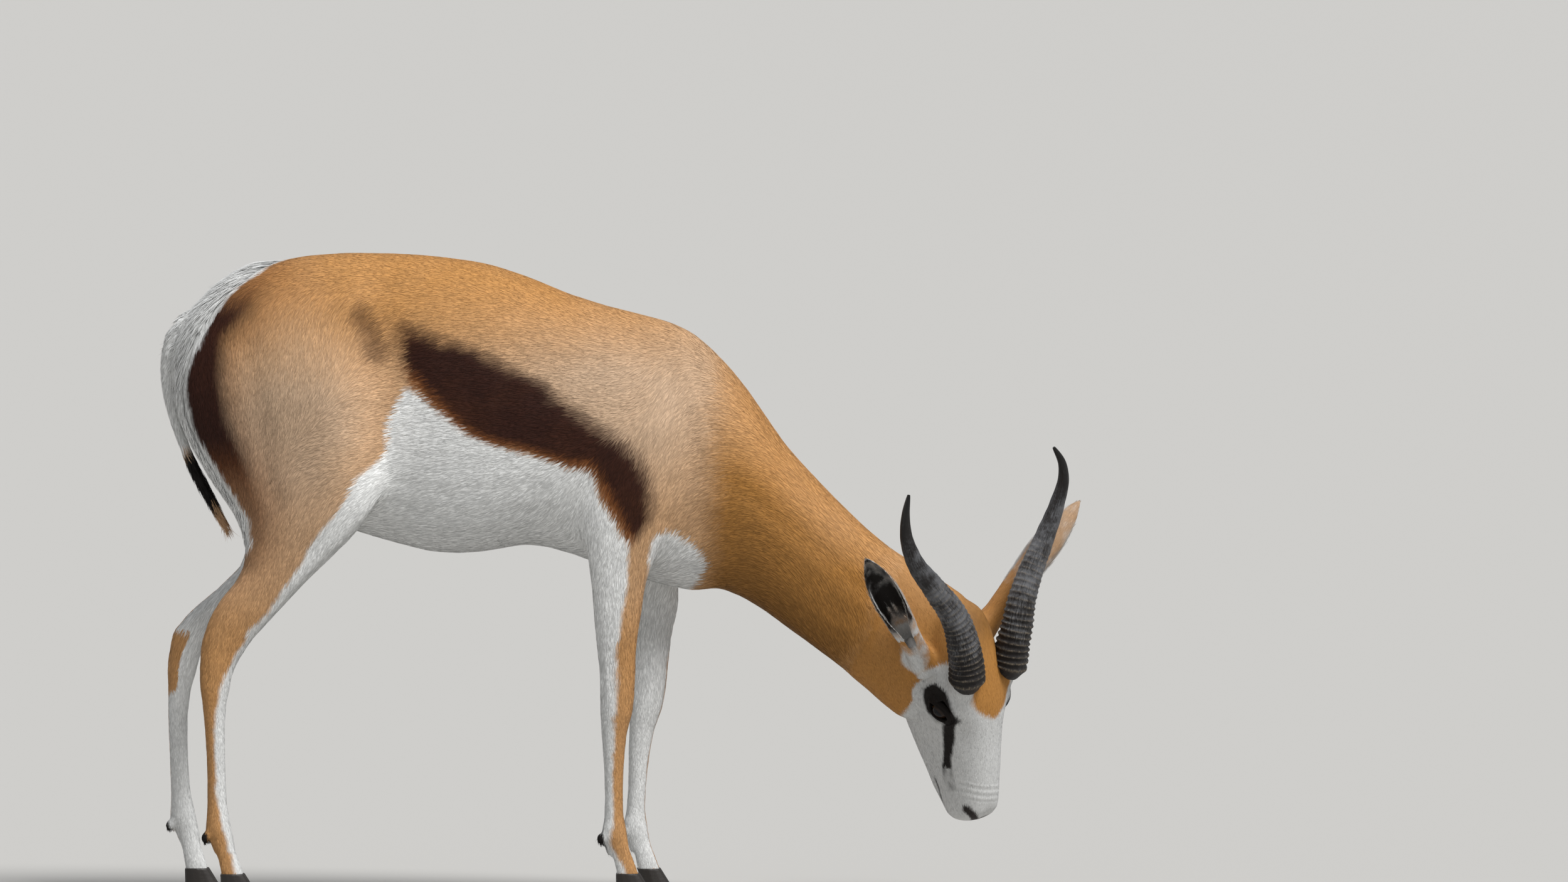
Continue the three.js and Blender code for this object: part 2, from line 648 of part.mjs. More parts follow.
function earSolid(ear) {
  const { curve, open, across, way } = earFrame(ear);
  const rings = [];
  for (let i = 0; i <= EAR_STEPS; i++) {
    const t = i / EAR_STEPS;
    const r = along(EAR_RADIUS, t);
    const half = THREE.MathUtils.degToRad(along(EAR_OPEN, t));
    const spine = curve.getPoint(t).addScaledVector(open, r * 0.4);
    const edge = (radius, k) => {
      const angle = half * (2 * (k / (EAR_ARC - 1)) - 1);
      return spine.clone()
        .addScaledVector(open, -radius * Math.cos(angle))
        .addScaledVector(across, radius * Math.sin(angle));
    };
    const ring = [];
    for (let k = 0; k < EAR_ARC; k++) ring.push(edge(r, k));
    for (let k = EAR_ARC - 1; k >= 0; k--) ring.push(edge(r - EAR_THICKNESS, k));
    rings.push(ring);
  }
  const leaf = solidOf(skinOver(rings));
  const stem = new THREE.CatmullRomCurve3([
    curve.getPoint(0).addScaledVector(way, -32).addScaledVector(open, 4),
    curve.getPoint(0).addScaledVector(way, -8).addScaledVector(open, 6),
    curve.getPoint(0.16).addScaledVector(open, 6.5),
  ]);
  const root = solidOf(tubeAlong(stem, 6, 10, (t) => {
    const r = Math.max(20 * (1 - t) ** 0.3, 3);
    return [r, r];
  }));
  const wall = along(EAR_RADIUS, 0.5) * 0.6 - EAR_THICKNESS / 2;
  const inside = curve.getPoint(0.5).addScaledVector(open, -wall);
  return { solid: leaf.add(root), cutAt: curve.getPoint(EAR_FOOT), way, inside };
}

// Tail: thin, hanging close behind the rump, with a tuft at its end

const TAIL = [
  vec(-292, -2, 710), vec(-318, -2, 709), vec(-338, -3, 690), vec(-345, -4, 656), vec(-343, -6, 622),
  vec(-335, -9, 590), vec(-321, -13, 556), vec(-303, -17, 524), vec(-283, -21, 494), vec(-263, -23, 464),
];

const TAIL_FOOT = 0.2; // share of the tail's run inside the rump

function tailSolid() {
  const curve = new THREE.CatmullRomCurve3(TAIL);
  const radii = (t) => {
    const tuft = t > 0.62 ? 4 * Math.sin((Math.PI * (t - 0.62)) / 0.42) : 0;
    const r = TAIL_ROOT_RADIUS * (1 - t) + 4.5 * t + tuft;
    return [r, r];
  };
  const solid = join([solidOf(tubeAlong(curve, 22, 10, radii)), ...tuftLocks(curve)]);
  return { solid, cutAt: curve.getPoint(TAIL_FOOT), way: curve.getTangent(TAIL_FOOT) };
}

// Locks: flat, tapered and bent, with their roots sunk in what they grow from

/** Seeded random numbers from -1 to 1. */
function variation(seed) {
  let state = seed;
  return () => {
    state = (Math.imul(state, 1664525) + 1013904223) >>> 0;
    return state / 2147483648 - 1;
  };
}

/** A lock along a few points, its broad side towards the way given. */
function lock(points, halfWidth, halfThickness, outward) {
  const radii = (t) => {
    const taper = Math.sqrt(1 - 0.97 * t);
    return [halfThickness * taper, halfWidth * taper];
  };
  return solidOf(tubeAlong(new THREE.CatmullRomCurve3(points), 4, 4, radii, outward));
}

const CREST = [vec(-178, 0, 796), vec(-224, 0, 788), vec(-262, 0, 768), vec(-290, 0, 741), vec(-312, 0, 706)];
const CREST_ROWS = 6;
const CREST_COLUMNS = 3;
const CREST_SPREAD = 11; // between columns
const CREST_LOCK = 56; // length of a lock
const CREST_CORE = 5; // height of the core that the locks stand in

function crestSolid(body) {
  const path = new THREE.CatmullRomCurve3(CREST);
  const run = path.getLength();
  const vary = variation(7);
  const outwardAt = (t) => vec(0, -1, 0).cross(path.getTangent(t)).normalize();
  const locks = [];
  for (let row = 0; row < CREST_ROWS; row++) {
    for (let column = 0; column < CREST_COLUMNS; column++) {
      const t = Math.min((row + 0.4 * (column % 2)) / CREST_ROWS, 0.9);
      const side = (column - (CREST_COLUMNS - 1) / 2) * CREST_SPREAD + 2 * vary();
      const length = CREST_LOCK * (1 + 0.12 * vary());
      const rise = THREE.MathUtils.lerp(12, 29, t) + 2 * vary();
      const points = [-5, rise * 0.5, rise].map((height, k) => {
        const at = Math.min(t + (0.5 * k * length) / run, 1);
        return path.getPoint(at).addScaledVector(outwardAt(at), height).add(vec(0, side * (1 + 0.15 * k), 0));
      });
      const over = Math.max(t + length / run - 1, 0) * run; // carries the last rows past the path's end
      points[2].addScaledVector(path.getTangent(1), over);
      points[1].addScaledVector(path.getTangent(1), over * 0.4);
      locks.push(lock(points, 8.5, 2.4, outwardAt(t)));
    }
  }
  const core = solidOf(tubeAlong(path, 8, 10, (t) => [CREST_CORE, 15 - 5 * t], vec(0, 1, 0).cross(vec(1, 0, 0))));
  let crest = join([core, ...locks]);
  const clear = CUT * 1.1;
  for (const [x, y, z] of [[0, 0, 0], [-1, 0, 0], [0, 0, 1], [0, 1, 0], [0, -1, 0], [-0.7, 0, 0.7]]) {
    crest = crest.subtract(body.translate([x * clear, y * clear, z * clear]));
  }
  return largest(crest);
}

const TUFT_LOCKS = 12;

/** Locks round the end of the tail, the longest past its tip. */
function tuftLocks(curve) {
  const vary = variation(19);
  const locks = [];
  for (let i = 0; i < TUFT_LOCKS; i++) {
    const t = 0.66 + (0.3 * i) / TUFT_LOCKS;
    const way = curve.getTangent(t);
    const angle = 2.4 * i;
    const first = way.clone().cross(vec(0, 1, 0)).normalize();
    const outward = first.multiplyScalar(Math.cos(angle)).add(vec(0, Math.sin(angle), 0));
    const length = 44 + 6 * vary();
    const points = [0, 6 + vary(), 7 + 2 * vary()].map((height, k) =>
      curve.getPoint(t).addScaledVector(way, (k * length) / 2).addScaledVector(outward, height));
    locks.push(lock(points, 5, 1.8, outward));
  }
  return locks;
}

// Assembly

const trunkRings = swell(ringsOf(smoothRows(TRUNK, TRUNK_RINGS), TRUNK_SIDES), bothSides(TRUNK_SWELLINGS));
const neckRings = ringsOf(smoothRows(NECK, 16), 26);

const legs = [
  { name: 'foreleg_right', rows: FORELEG, side: -1, stance: AS_DRAWN, knee: 247, top: 372 },
  { name: 'foreleg_left', rows: FORELEG, side: 1, stance: FAR_FORELEG, knee: 247, top: 372 },
  { name: 'hindleg_right', rows: HINDLEG, side: -1, stance: AS_DRAWN, knee: 272, top: 430 },
  { name: 'hindleg_left', rows: HINDLEG, side: 1, stance: FAR_HINDLEG, knee: 288, top: 436 },
];

const earRight = earSolid(EAR_RIGHT);
const earLeft = earSolid(EAR_LEFT);
const tail = tailSolid();

const solids = [
  solidOf(skinOver(trunkRings)),
  solidOf(skinOver(neckRings)),
  headSolid(),
  earRight.solid,
  earLeft.solid,
  tail.solid,
];

const cuts = [
  plate(vec(348, 0, 540), vec(1, 0, -0.02), 420), // neck from torso
  plate(vec(542, 0, 352), vec(146, 0, -76), 280, 112), // head from neck
  plate(earRight.cutAt, earRight.way, 52),
  plate(earLeft.cutAt, earLeft.way, 52),
  plate(tail.cutAt, tail.way, 40),
];

const probes = {
  torso: vec(60, 0, 600),
  neck: vec(470, 0, 400),
  head: inHead(60, 0, -30),
  ear_right: earRight.inside,
  ear_left: earLeft.inside,
  tail: new THREE.CatmullRomCurve3(TAIL).getPoint(0.4),
};

const feet = [];
for (const { name, rows, side, stance, knee, top } of legs) {
  const placed = limbRows(rows, side, stance);
  solids.push(limb(rows, side, stance));
  const { foot, solids: extra } = footSolids(placed);
  solids.push(...extra);
  feet.push({ name, foot });
  const middle = (height) => {
    const spot = placed.reduce((best, row) => (
      Math.abs((row.az + row.bz) / 2 - height) < Math.abs((best.az + best.bz) / 2 - height) ? row : best));
    return vec((spot.ax + spot.bx) / 2, (spot.ay + spot.by) / 2, height);
  };
  cuts.push(plate(middle(top), vec(0, 0, 1), name.startsWith('fore') ? 100 : 150));
  cuts.push(plate(middle(knee), vec(0, 0, 1), 70));
  probes[`${name}_upper`] = middle(top - 30);
  probes[`${name}_lower`] = middle(knee - 60);
}

const whole = join(solids);
const pieces = whole.subtract(join(cuts)).decompose();

const COAT = { color: 0xa9733f, roughness: 0.9, metalness: 0 };
const HORN = { color: 0x2b2724, roughness: 0.55, metalness: 0 };
const HOOF = { color: 0x1d1a18, roughness: 0.5, metalness: 0 };
const EYEBALL = { color: 0x120d0a, roughness: 0.08, metalness: 0 };

const group = new THREE.Group();

function addMesh(name, geometry, finish) {
  const mesh = new THREE.Mesh(geometry, new THREE.MeshStandardMaterial(finish));
  mesh.name = name;
  group.add(mesh);
}

for (const [name, at] of Object.entries(probes)) {
  const piece = pieceAt(pieces, at);
  if (!piece) throw new Error(`no piece at ${name}`);
  addMesh(name, geometryOf(piece), COAT);
}
addMesh('croup_crest', geometryOf(crestSolid(whole)), COAT);
for (const [side, label] of [[1, 'left'], [-1, 'right']]) {
  addMesh(`horn_${label}`, geometryOf(hornSolid(side)), HORN);
}
for (const { name, foot } of feet) {
  for (const [claw, label] of [[1, 'left'], [-1, 'right']]) {
    addMesh(`hoof_${name}_${label}`, geometryOf(solidOf(hoof(foot, claw))), HOOF);
  }
}
for (const [side, label] of [[1, 'left'], [-1, 'right']]) {
  addMesh(`eye_${label}`, geometryOf(solidOf(eyeball(side).applyMatrix4(headFrame))), EYEBALL);
}

// The origin goes to the middle of the bounding box's bottom.
const bounds = new THREE.Box3().setFromObject(group);
const shift = vec(-(bounds.min.x + bounds.max.x) / 2, -(bounds.min.y + bounds.max.y) / 2, -bounds.min.z);
for (const mesh of group.children) mesh.geometry.translate(shift.x, shift.y, shift.z);

export default group;
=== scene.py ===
"""A grazing springbok, life size, dressed with skin, coat, horns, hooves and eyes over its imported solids."""

import logging
import math
from dataclasses import dataclass
from enum import Enum

import bmesh
import bpy
import numpy as np
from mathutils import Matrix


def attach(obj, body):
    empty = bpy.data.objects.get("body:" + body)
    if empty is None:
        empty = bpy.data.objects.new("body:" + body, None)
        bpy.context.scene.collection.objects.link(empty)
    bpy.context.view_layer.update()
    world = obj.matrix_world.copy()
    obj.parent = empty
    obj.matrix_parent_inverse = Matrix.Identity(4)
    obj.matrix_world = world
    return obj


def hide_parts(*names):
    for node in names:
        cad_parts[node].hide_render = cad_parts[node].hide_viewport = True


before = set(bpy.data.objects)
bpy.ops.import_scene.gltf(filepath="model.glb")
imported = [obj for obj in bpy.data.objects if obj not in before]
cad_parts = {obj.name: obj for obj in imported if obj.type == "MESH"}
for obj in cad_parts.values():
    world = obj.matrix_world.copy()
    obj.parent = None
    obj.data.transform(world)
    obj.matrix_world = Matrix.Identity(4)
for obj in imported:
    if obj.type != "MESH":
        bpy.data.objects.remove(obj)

import openvdb as vdb
from mathutils import Vector
from mathutils.bvhtree import BVHTree

log = logging.getLogger("springbok")

MM = 0.001
MIDDLE_Y = 0.0503  # the animal's plane of symmetry

Colour = tuple[float, float, float]
Place = tuple[float, float, float]
Outline = tuple[tuple[float, float], ...]
Track = tuple[Place, ...]
Stops = tuple[tuple[float, float], ...]
Array = np.ndarray
Mesh, Object, Material, Socket = bpy.types.Mesh, bpy.types.Object, bpy.types.Material, bpy.types.NodeSocket


class Region(Enum):
    """A part of the body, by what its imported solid's name begins with."""

    TORSO = "torso"
    NECK = "neck"
    HEAD = "head"
    EAR_RIGHT = "ear_right"
    EAR_LEFT = "ear_left"
    TAIL = "tail"
    FORE_RIGHT_UPPER = "foreleg_right_upper"
    FORE_RIGHT_LOWER = "foreleg_right_lower"
    FORE_LEFT_UPPER = "foreleg_left_upper"
    FORE_LEFT_LOWER = "foreleg_left_lower"
    HIND_RIGHT_UPPER = "hindleg_right_upper"
    HIND_RIGHT_LOWER = "hindleg_right_lower"
    HIND_LEFT_UPPER = "hindleg_left_upper"
    HIND_LEFT_LOWER = "hindleg_left_lower"
    HOOF = "hoof"


REGIONS = list(Region)
EARS = (Region.EAR_RIGHT, Region.EAR_LEFT)
LEGS = {f"{end}_{side}": (Region(f"{end}leg_{side}_upper"), Region(f"{end}leg_{side}_lower"))
        for end in ("fore", "hind") for side in ("right", "left")}
UPPER_LEGS = tuple(upper for upper, _ in LEGS.values())
LOWER_LEGS = tuple(lower for _, lower in LEGS.values())


@dataclass(frozen=True)
class ByRegion:
    """A number for each region, the same on the animal's right and left."""

    torso: float
    neck: float
    head: float
    ears: float
    tail: float
    upper_legs: float
    lower_legs: float
    hooves: float

    def at(self, region: Array) -> Array:
        """The number of each point, from the region that it belongs to."""
        legs = (self.upper_legs, self.lower_legs) * len(LEGS)
        table = (self.torso, self.neck, self.head, self.ears, self.ears, self.tail, *legs, self.hooves)
        return np.array(table)[region]


# Plain sums on points.


def unit(vectors: Array) -> Array:
    """The same vectors, each of length one."""
    return vectors / np.maximum(np.linalg.norm(vectors, axis=-1, keepdims=True), 1e-9)


def ease(low: float, high: float, value: Array) -> Array:
    """Zero below low, one above high, and a smooth rise between them."""
    t = np.clip((value - low) / (high - low), 0, 1)
    return t * t * (3 - 2 * t)


def bell(value: Array, middle: float, width: float) -> Array:
    """One at the middle, falling smoothly to zero on both sides of it."""
    return np.exp(-((value - middle) / width) ** 2)


def ramp(value: Array, stops: Stops) -> Array:
    """A number read between stops, each a value and the number that belongs to it."""
    return np.interp(value, *zip(*stops))


def turns(count: int) -> Array:
    """Evenly spaced turns around a circle."""
    return np.linspace(0, 2 * np.pi, count, endpoint=False)


def among(region: Array, *parts: Region) -> Array:
    """Which points belong to any of some regions."""
    return np.isin(region, [REGIONS.index(part) for part in parts])


def nearest_on(points: Array, start: Array, end: Array) -> tuple[Array, Array]:
    """Reads points against one straight stretch.

    Args:
        points: One point a row, flat or in space.
        start: One end of the stretch.
        end: Its other end.

    Returns:
        Distance of each point from the stretch, and how far along it the nearest place lies, from zero to one.
    """
    way = end - start
    t = np.clip((points - start) @ way / max(float(way @ way), 1e-12), 0, 1)
    return np.linalg.norm(points - start - t[:, None] * way, axis=1), t


def line_distance(points: Array, line: Array) -> Array:
    """Distance of each point from a line of several stretches, in metres."""
    return np.min([nearest_on(points, a, b)[0] for a, b in zip(line[:-1], line[1:])], axis=0)


def away(points: Array, line: Outline | Track) -> Array:
    """Distance of each point from a line given in millimetres, in millimetres too."""
    return line_distance(points, np.array(line, float) * MM) / MM


def share_along(points: Array, line: Array) -> Array:
    """How far along a line, from zero to one, the nearest place to each point lies."""
    run = np.concatenate([[0], np.cumsum(np.linalg.norm(np.diff(line, axis=0), axis=1))])
    nearest = np.full(len(points), np.inf)
    share = np.zeros(len(points))
    for i, (a, b) in enumerate(zip(line[:-1], line[1:])):
        near, t = nearest_on(points, a, b)
        closer = near < nearest
        nearest[closer] = near[closer]
        share[closer] = (run[i] + t[closer] * (run[i + 1] - run[i])) / run[-1]
    return share


def rounded(outline: Outline, closed: bool, steps: int = 4) -> Array:
    """A smooth line through the points of an outline.

    Args:
        outline: The points, in millimetres.
        closed: Whether the last point joins the first.
        steps: Points made for each one given.

    Returns:
        The line's points, in metres.
    """
    p = np.array(outline, float) * MM
    count = len(p)
    made = []
    for i in range(count if closed else count - 1):
        a, b, c, d = (p[k % count] if closed else p[min(max(k, 0), count - 1)] for k in (i - 1, i, i + 1, i + 2))
        for step in range(steps):
            t = step / steps
            made.append(0.5 * (2 * b + (c - a) * t + (2 * a - 5 * b + 4 * c - d) * t * t
                               + (3 * b - a - 3 * c + d) * t ** 3))
    if not closed:
        made.append(p[-1])
    return np.array(made)


@dataclass(frozen=True)
class Patch:
    """A closed patch of colour, drawn on the animal's side or along its head, in millimetres."""

    outline: Outline
    smooth: bool = True

    def inside(self, flat: Array) -> Array:
        """Depth of each flat point inside the patch, in millimetres, and below zero outside it.

        Args:
            flat: Two coordinates a row, in metres.

        Returns:
            One depth for each point.
        """
        line = rounded(self.outline, True) if self.smooth else np.array(self.outline, float) * MM
        after = np.roll(line, -1, axis=0)
        near = np.full(len(flat), 9.0)
        within = np.zeros(len(flat), bool)
        for a, b in zip(line, after):
            near = np.minimum(near, nearest_on(flat, a, b)[0])
            if a[1] != b[1]:
                crosses = (flat[:, 1] > a[1]) != (flat[:, 1] > b[1])
                at = a[0] + (flat[:, 1] - a[1]) * (b[0] - a[0]) / (b[1] - a[1])
                within ^= crosses & (flat[:, 0] < at)
        return np.where(within, near, -near) / MM


@dataclass(frozen=True)
class HeadAxes:
    """The head's own directions: towards the nose, to the animal's left, and out of the forehead."""

    at: Place = (0.43751, 0.04227, 0.2556)
    nose: Place = (0.15, 0.14, -0.979)
    forehead: Place = (0.6885, -0.726, 0.002)

    def axes(self) -> Array:
        """The three unit directions, one a row."""
        nose = unit(np.array(self.nose))
        left = unit(np.cross(np.array(self.forehead), nose))
        return np.array([nose, left, np.cross(nose, left)])

    def of(self, points: Array) -> Array:
        """Places measured along the head's directions, in metres from the middle between the eyes."""
        return (points - np.array(self.at)) @ self.axes().T

    def out(self, places: Array) -> Array:
        """Points of the scene for places given in millimetres along the head's directions."""
        return np.array(places, float) * MM @ self.axes() + np.array(self.at)

    def way(self, directions: Array) -> Array:
        """Directions of the scene for directions along the head."""
        return unit(np.array(directions, float) @ self.axes())


HEAD = HeadAxes()


@dataclass(frozen=True)
class EarAxes:
    """Where an ear runs and which way its cup opens, along the head's directions in millimetres."""

    root: Place
    tip: Place
    opening: Place

    def look(self, points: Array, normals: Array) -> tuple[Array, ...]:
        """Reads points against the ear.

        Args:
            points: Points of the scene.
            normals: Their normals.

        Returns:
            Share of the way to the tip, how far each normal looks out of the cup, distance across the ear in
            millimetres, and distance from the line of the ear in millimetres.
        """
        root, tip = HEAD.out([self.root, self.tip])
        way = unit(tip - root)
        opening = HEAD.way([self.opening])[0]
        opening = unit(opening - (opening @ way) * way)
        across = np.cross(way, opening)
        from_root = points - root
        share = from_root @ way / np.linalg.norm(tip - root)
        return share, normals @ opening, from_root @ across / MM, nearest_on(points, root, tip)[0] / MM


EAR_RIGHT = EarAxes((-74, -60, -21), (-208, -140, 0), (-0.06, -0.7, 0.69))
EAR_LEFT = EarAxes((-93, 58, 4), (-207, 181, 55), (0.02, 0.78, -0.57))
TAIL_LINE: Track = (
    (-496, 48, 712), (-514, 48, 714), (-532, 48, 710), (-547, 47, 694), (-553, 46, 660), (-551, 44, 626),
    (-543, 41, 592), (-531, 37, 558), (-515, 33, 526), (-499, 29, 496), (-488, 28, 476))


# Meshes.


def numbers_of(elements: bpy.types.bpy_prop_collection, key: str, columns: int = 1,
               kind: type = np.float32) -> Array:
    """Numbers of every element of a mesh, one element a row where there are several columns."""
    flat = np.zeros(len(elements) * columns, kind)
    elements.foreach_get(key, flat)
    return flat.reshape(-1, columns) if columns > 1 else flat


def vertices_of(mesh: Mesh) -> Array:
    """The mesh's points, one a row."""
    return numbers_of(mesh.vertices, "co", 3).astype(float)


def normals_of(mesh: Mesh) -> Array:
    """The mesh's smooth normals, one for each point."""
    return numbers_of(mesh.vertex_normals, "vector", 3).astype(float)


def edges_of(mesh: Mesh) -> Array:
    """The two ends of each edge."""
    return numbers_of(mesh.edges, "vertices", 2, np.int32)


def triangles_of(mesh: Mesh) -> Array:
    """The three corners of each triangle."""
    mesh.calc_loop_triangles()
    return numbers_of(mesh.loop_triangles, "vertices", 3, np.int32)


def values_of(mesh: Mesh, name: str, kind: type = np.float32) -> Array:
    """The numbers stored at the mesh's points under a name."""
    return numbers_of(mesh.attributes[name].data, "value", 1, kind)


def regions_of(mesh: Mesh) -> Array:
    """Number of the region of each point."""
    return values_of(mesh, "region", np.int32)


def crossed(corners: Array) -> Array:
    """A direction out of each triangle, twice as long as its area."""
    return np.cross(corners[:, 1] - corners[:, 0], corners[:, 2] - corners[:, 0])


def soften(mesh: Mesh, share: float) -> None:
    """Turns the normals of outer faces towards the skin's own, "ground", so that tufts are lit as one coat."""
    ground = numbers_of(mesh.attributes["ground"].data, "vector", 3)
    corners = numbers_of(mesh.loops, "vertex_index", 1, np.int32)
    faces = np.repeat(numbers_of(mesh.polygons, "normal", 3),
                      numbers_of(mesh.polygons, "loop_total", 1, np.int32), axis=0)
    turned = unit(ground * share + normals_of(mesh) * (1 - share))[corners]
    under = (faces * ground[corners]).sum(1) < 0.0
    turned[under] = faces[under]
    mesh.normals_split_custom_set(turned.tolist())


def put_vertices(mesh: Mesh, points: Array) -> None:
    """Moves the mesh's points to new places."""
    mesh.vertices.foreach_set("co", np.ascontiguousarray(points, np.float32).ravel())
    mesh.update()


def put_values(mesh: Mesh, name: str, values: Array, domain: str = "POINT") -> None:
    """Stores numbers or directions on the mesh under a name.

    Args:
        mesh: The mesh that carries them.
        name: The attribute's name.
        values: One number or direction for each element.
        domain: The kind of element.
    """
    if values.ndim == 2:
        kind, key = "FLOAT_VECTOR", "vector"
    elif values.dtype.kind in "iu":
        kind, key = "INT", "value"
    else:
        kind, key = "FLOAT", "value"
    attribute = mesh.attributes.get(name) or mesh.attributes.new(name, kind, domain)
    attribute.data.foreach_set(key, np.ascontiguousarray(values, np.int32 if kind == "INT" else np.float32).ravel())


def level_set(points: Array, triangles: Array, voxel: float) -> vdb.FloatGrid:
    """Distances from a closed surface, on a grid of small cells."""
    return vdb.FloatGrid.createLevelSetFromPolygons(
        points.astype(np.float32), triangles=triangles.astype(np.int32),
        transform=vdb.createLinearTransform(voxelSize=voxel), halfWidth=3.0)


def mesh_from(name: str, points: Array, faces: list[Array]) -> Mesh:
    """A smooth-shaded mesh.

    Args:
        name: Its name.
        points: One point a row.
        faces: Arrays of faces, each with one face a row.

    Returns:
        The mesh.
    """
    mesh = bpy.data.meshes.new(name)
    mesh.vertices.add(len(points))
    mesh.vertices.foreach_set("co", np.ascontiguousarray(points, np.float32).ravel())
    faces = [f for f in faces if len(f)]
    loops = np.concatenate([f.ravel() for f in faces]).astype(np.int32)
    sizes = np.concatenate([np.full(len(f), f.shape[1]) for f in faces])
    mesh.loops.add(len(loops))
    mesh.loops.foreach_set("vertex_index", loops)
    mesh.polygons.add(len(sizes))
    mesh.polygons.foreach_set("loop_start", np.concatenate([[0], np.cumsum(sizes)[:-1]]).astype(np.int32))
    mesh.update(calc_edges=True)
    mesh.shade_smooth()
    return mesh


def shown(name: str, mesh: Mesh) -> Object:
    """An object of the scene that carries the mesh."""
    piece = bpy.data.objects.new(name, mesh)
    bpy.context.scene.collection.objects.link(piece)
    return piece


def applied(piece: Object) -> Mesh:
    """Makes the object's modifiers part of its mesh, and returns the new mesh."""
    bpy.context.view_layer.update()
    graph = bpy.context.evaluated_depsgraph_get()
    mesh = bpy.data.meshes.new_from_object(piece.evaluated_get(graph), preserve_all_data_layers=True, depsgraph=graph)
    piece.modifiers.clear()
    piece.data = mesh
    return mesh


def finished(piece: Object, slot: str, *nodes: str) -> Object:
    """Fastens a piece to the body and hides the solids that it stands for."""
    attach(piece, "root")
    if nodes:
        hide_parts(*nodes)
    log.info("%s: %d faces", piece.name, len(piece.data.polygons))
    return piece


def bar_faces(rings: int, sides: int) -> list[Array]:
    """Faces of a bar that is closed by one point at each end.

    Args:
        rings: Rings of points along the bar; the two end points come after them.
        sides: Points in each ring.

    Returns:
        The faces between the rings, those at the first end and those at the last.
    """
    ring, side = np.meshgrid(np.arange(rings - 1), np.arange(sides), indexing="ij")
    after = (side + 1) % sides
    quads = np.stack([ring * sides + side, ring * sides + after, (ring + 1) * sides + after,
                      (ring + 1) * sides + side], -1).reshape(-1, 4)
    k, last, end = np.arange(sides), (rings - 1) * sides, np.full(sides, rings * sides)
    return [quads, np.stack([end, (k + 1) % sides, k], 1), np.stack([end + 1, last + k, last + (k + 1) % sides], 1)]


def turned_over(faces: Array) -> Array:
    """Faces that look the other way, each from the same first point."""
    return np.roll(faces[:, ::-1], 1, axis=1)


def swept(name: str, spine: Array, radii: Array, sides: int, up: Array, flat: float = 1.0) -> Mesh:
    """A closed round bar along a line.

    Args:
        name: The mesh's name.
        spine: Points of the line.
        radii: The bar's half width at each point.
        sides: Points around the bar.
        up: A direction that the bar's second width follows.
        flat: The second width as a share of the first.

    Returns:
        The mesh, with its sweep stored as "along" and its turn as "around".
    """
    way = unit(np.gradient(spine, axis=0))
    across = unit(np.cross(way, up))
    over = np.cross(across, way)
    angle = turns(sides)
    rings = (spine[:, None] + radii[:, None, None]
             * (np.cos(angle)[None, :, None] * across[:, None] + flat * np.sin(angle)[None, :, None] * over[:, None]))
    count = len(spine)
    points = np.concatenate([rings.reshape(-1, 3), spine[:1], spine[-1:]])
    mesh = mesh_from(name, points, bar_faces(count, sides))
    along = np.concatenate([np.repeat(np.linspace(0, 1, count), sides), [0.0, 1.0]])
    around = np.concatenate([np.tile(angle / (2 * np.pi), count), [0.0, 0.0]])
    put_values(mesh, "along", along)
    put_values(mesh, "around", around)
    return mesh


# Node trees and shader maths.


class Nodes:
    """A tree of nodes under construction."""

    tree: bpy.types.NodeTree

    def node(self, kind: str, settings: dict | None = None, values: dict | None = None) -> bpy.types.Node:
        """Adds a node.

        Args:
            kind: The node's type.
            settings: Its own settings, set first.
            values: Numbers, colours, links or nodes for its sockets, by name or number.

        Returns:
            The node.
        """
        made = self.tree.nodes.new(kind)
        for key, setting in (settings or {}).items():
            setattr(made, key, setting)
        for key, value in (values or {}).items():
            socket = made.inputs[key]
            if isinstance(value, bpy.types.Node):
                value = value.outputs[0]
            elif isinstance(value, Value):
                value = value.socket
            if isinstance(value, Socket):
                self.tree.links.new(value, socket)
            elif isinstance(value, tuple) and socket.type == "RGBA":
                socket.default_value = (*value, 1.0)
            else:
                socket.default_value = value
        return made

    def triple(self, x: object = 0.0, y: object = 0.0, z: object = 0.0) -> bpy.types.Node:
        """A vector of three numbers."""
        return self.node("ShaderNodeCombineXYZ", {}, {0: x, 1: y, 2: z})


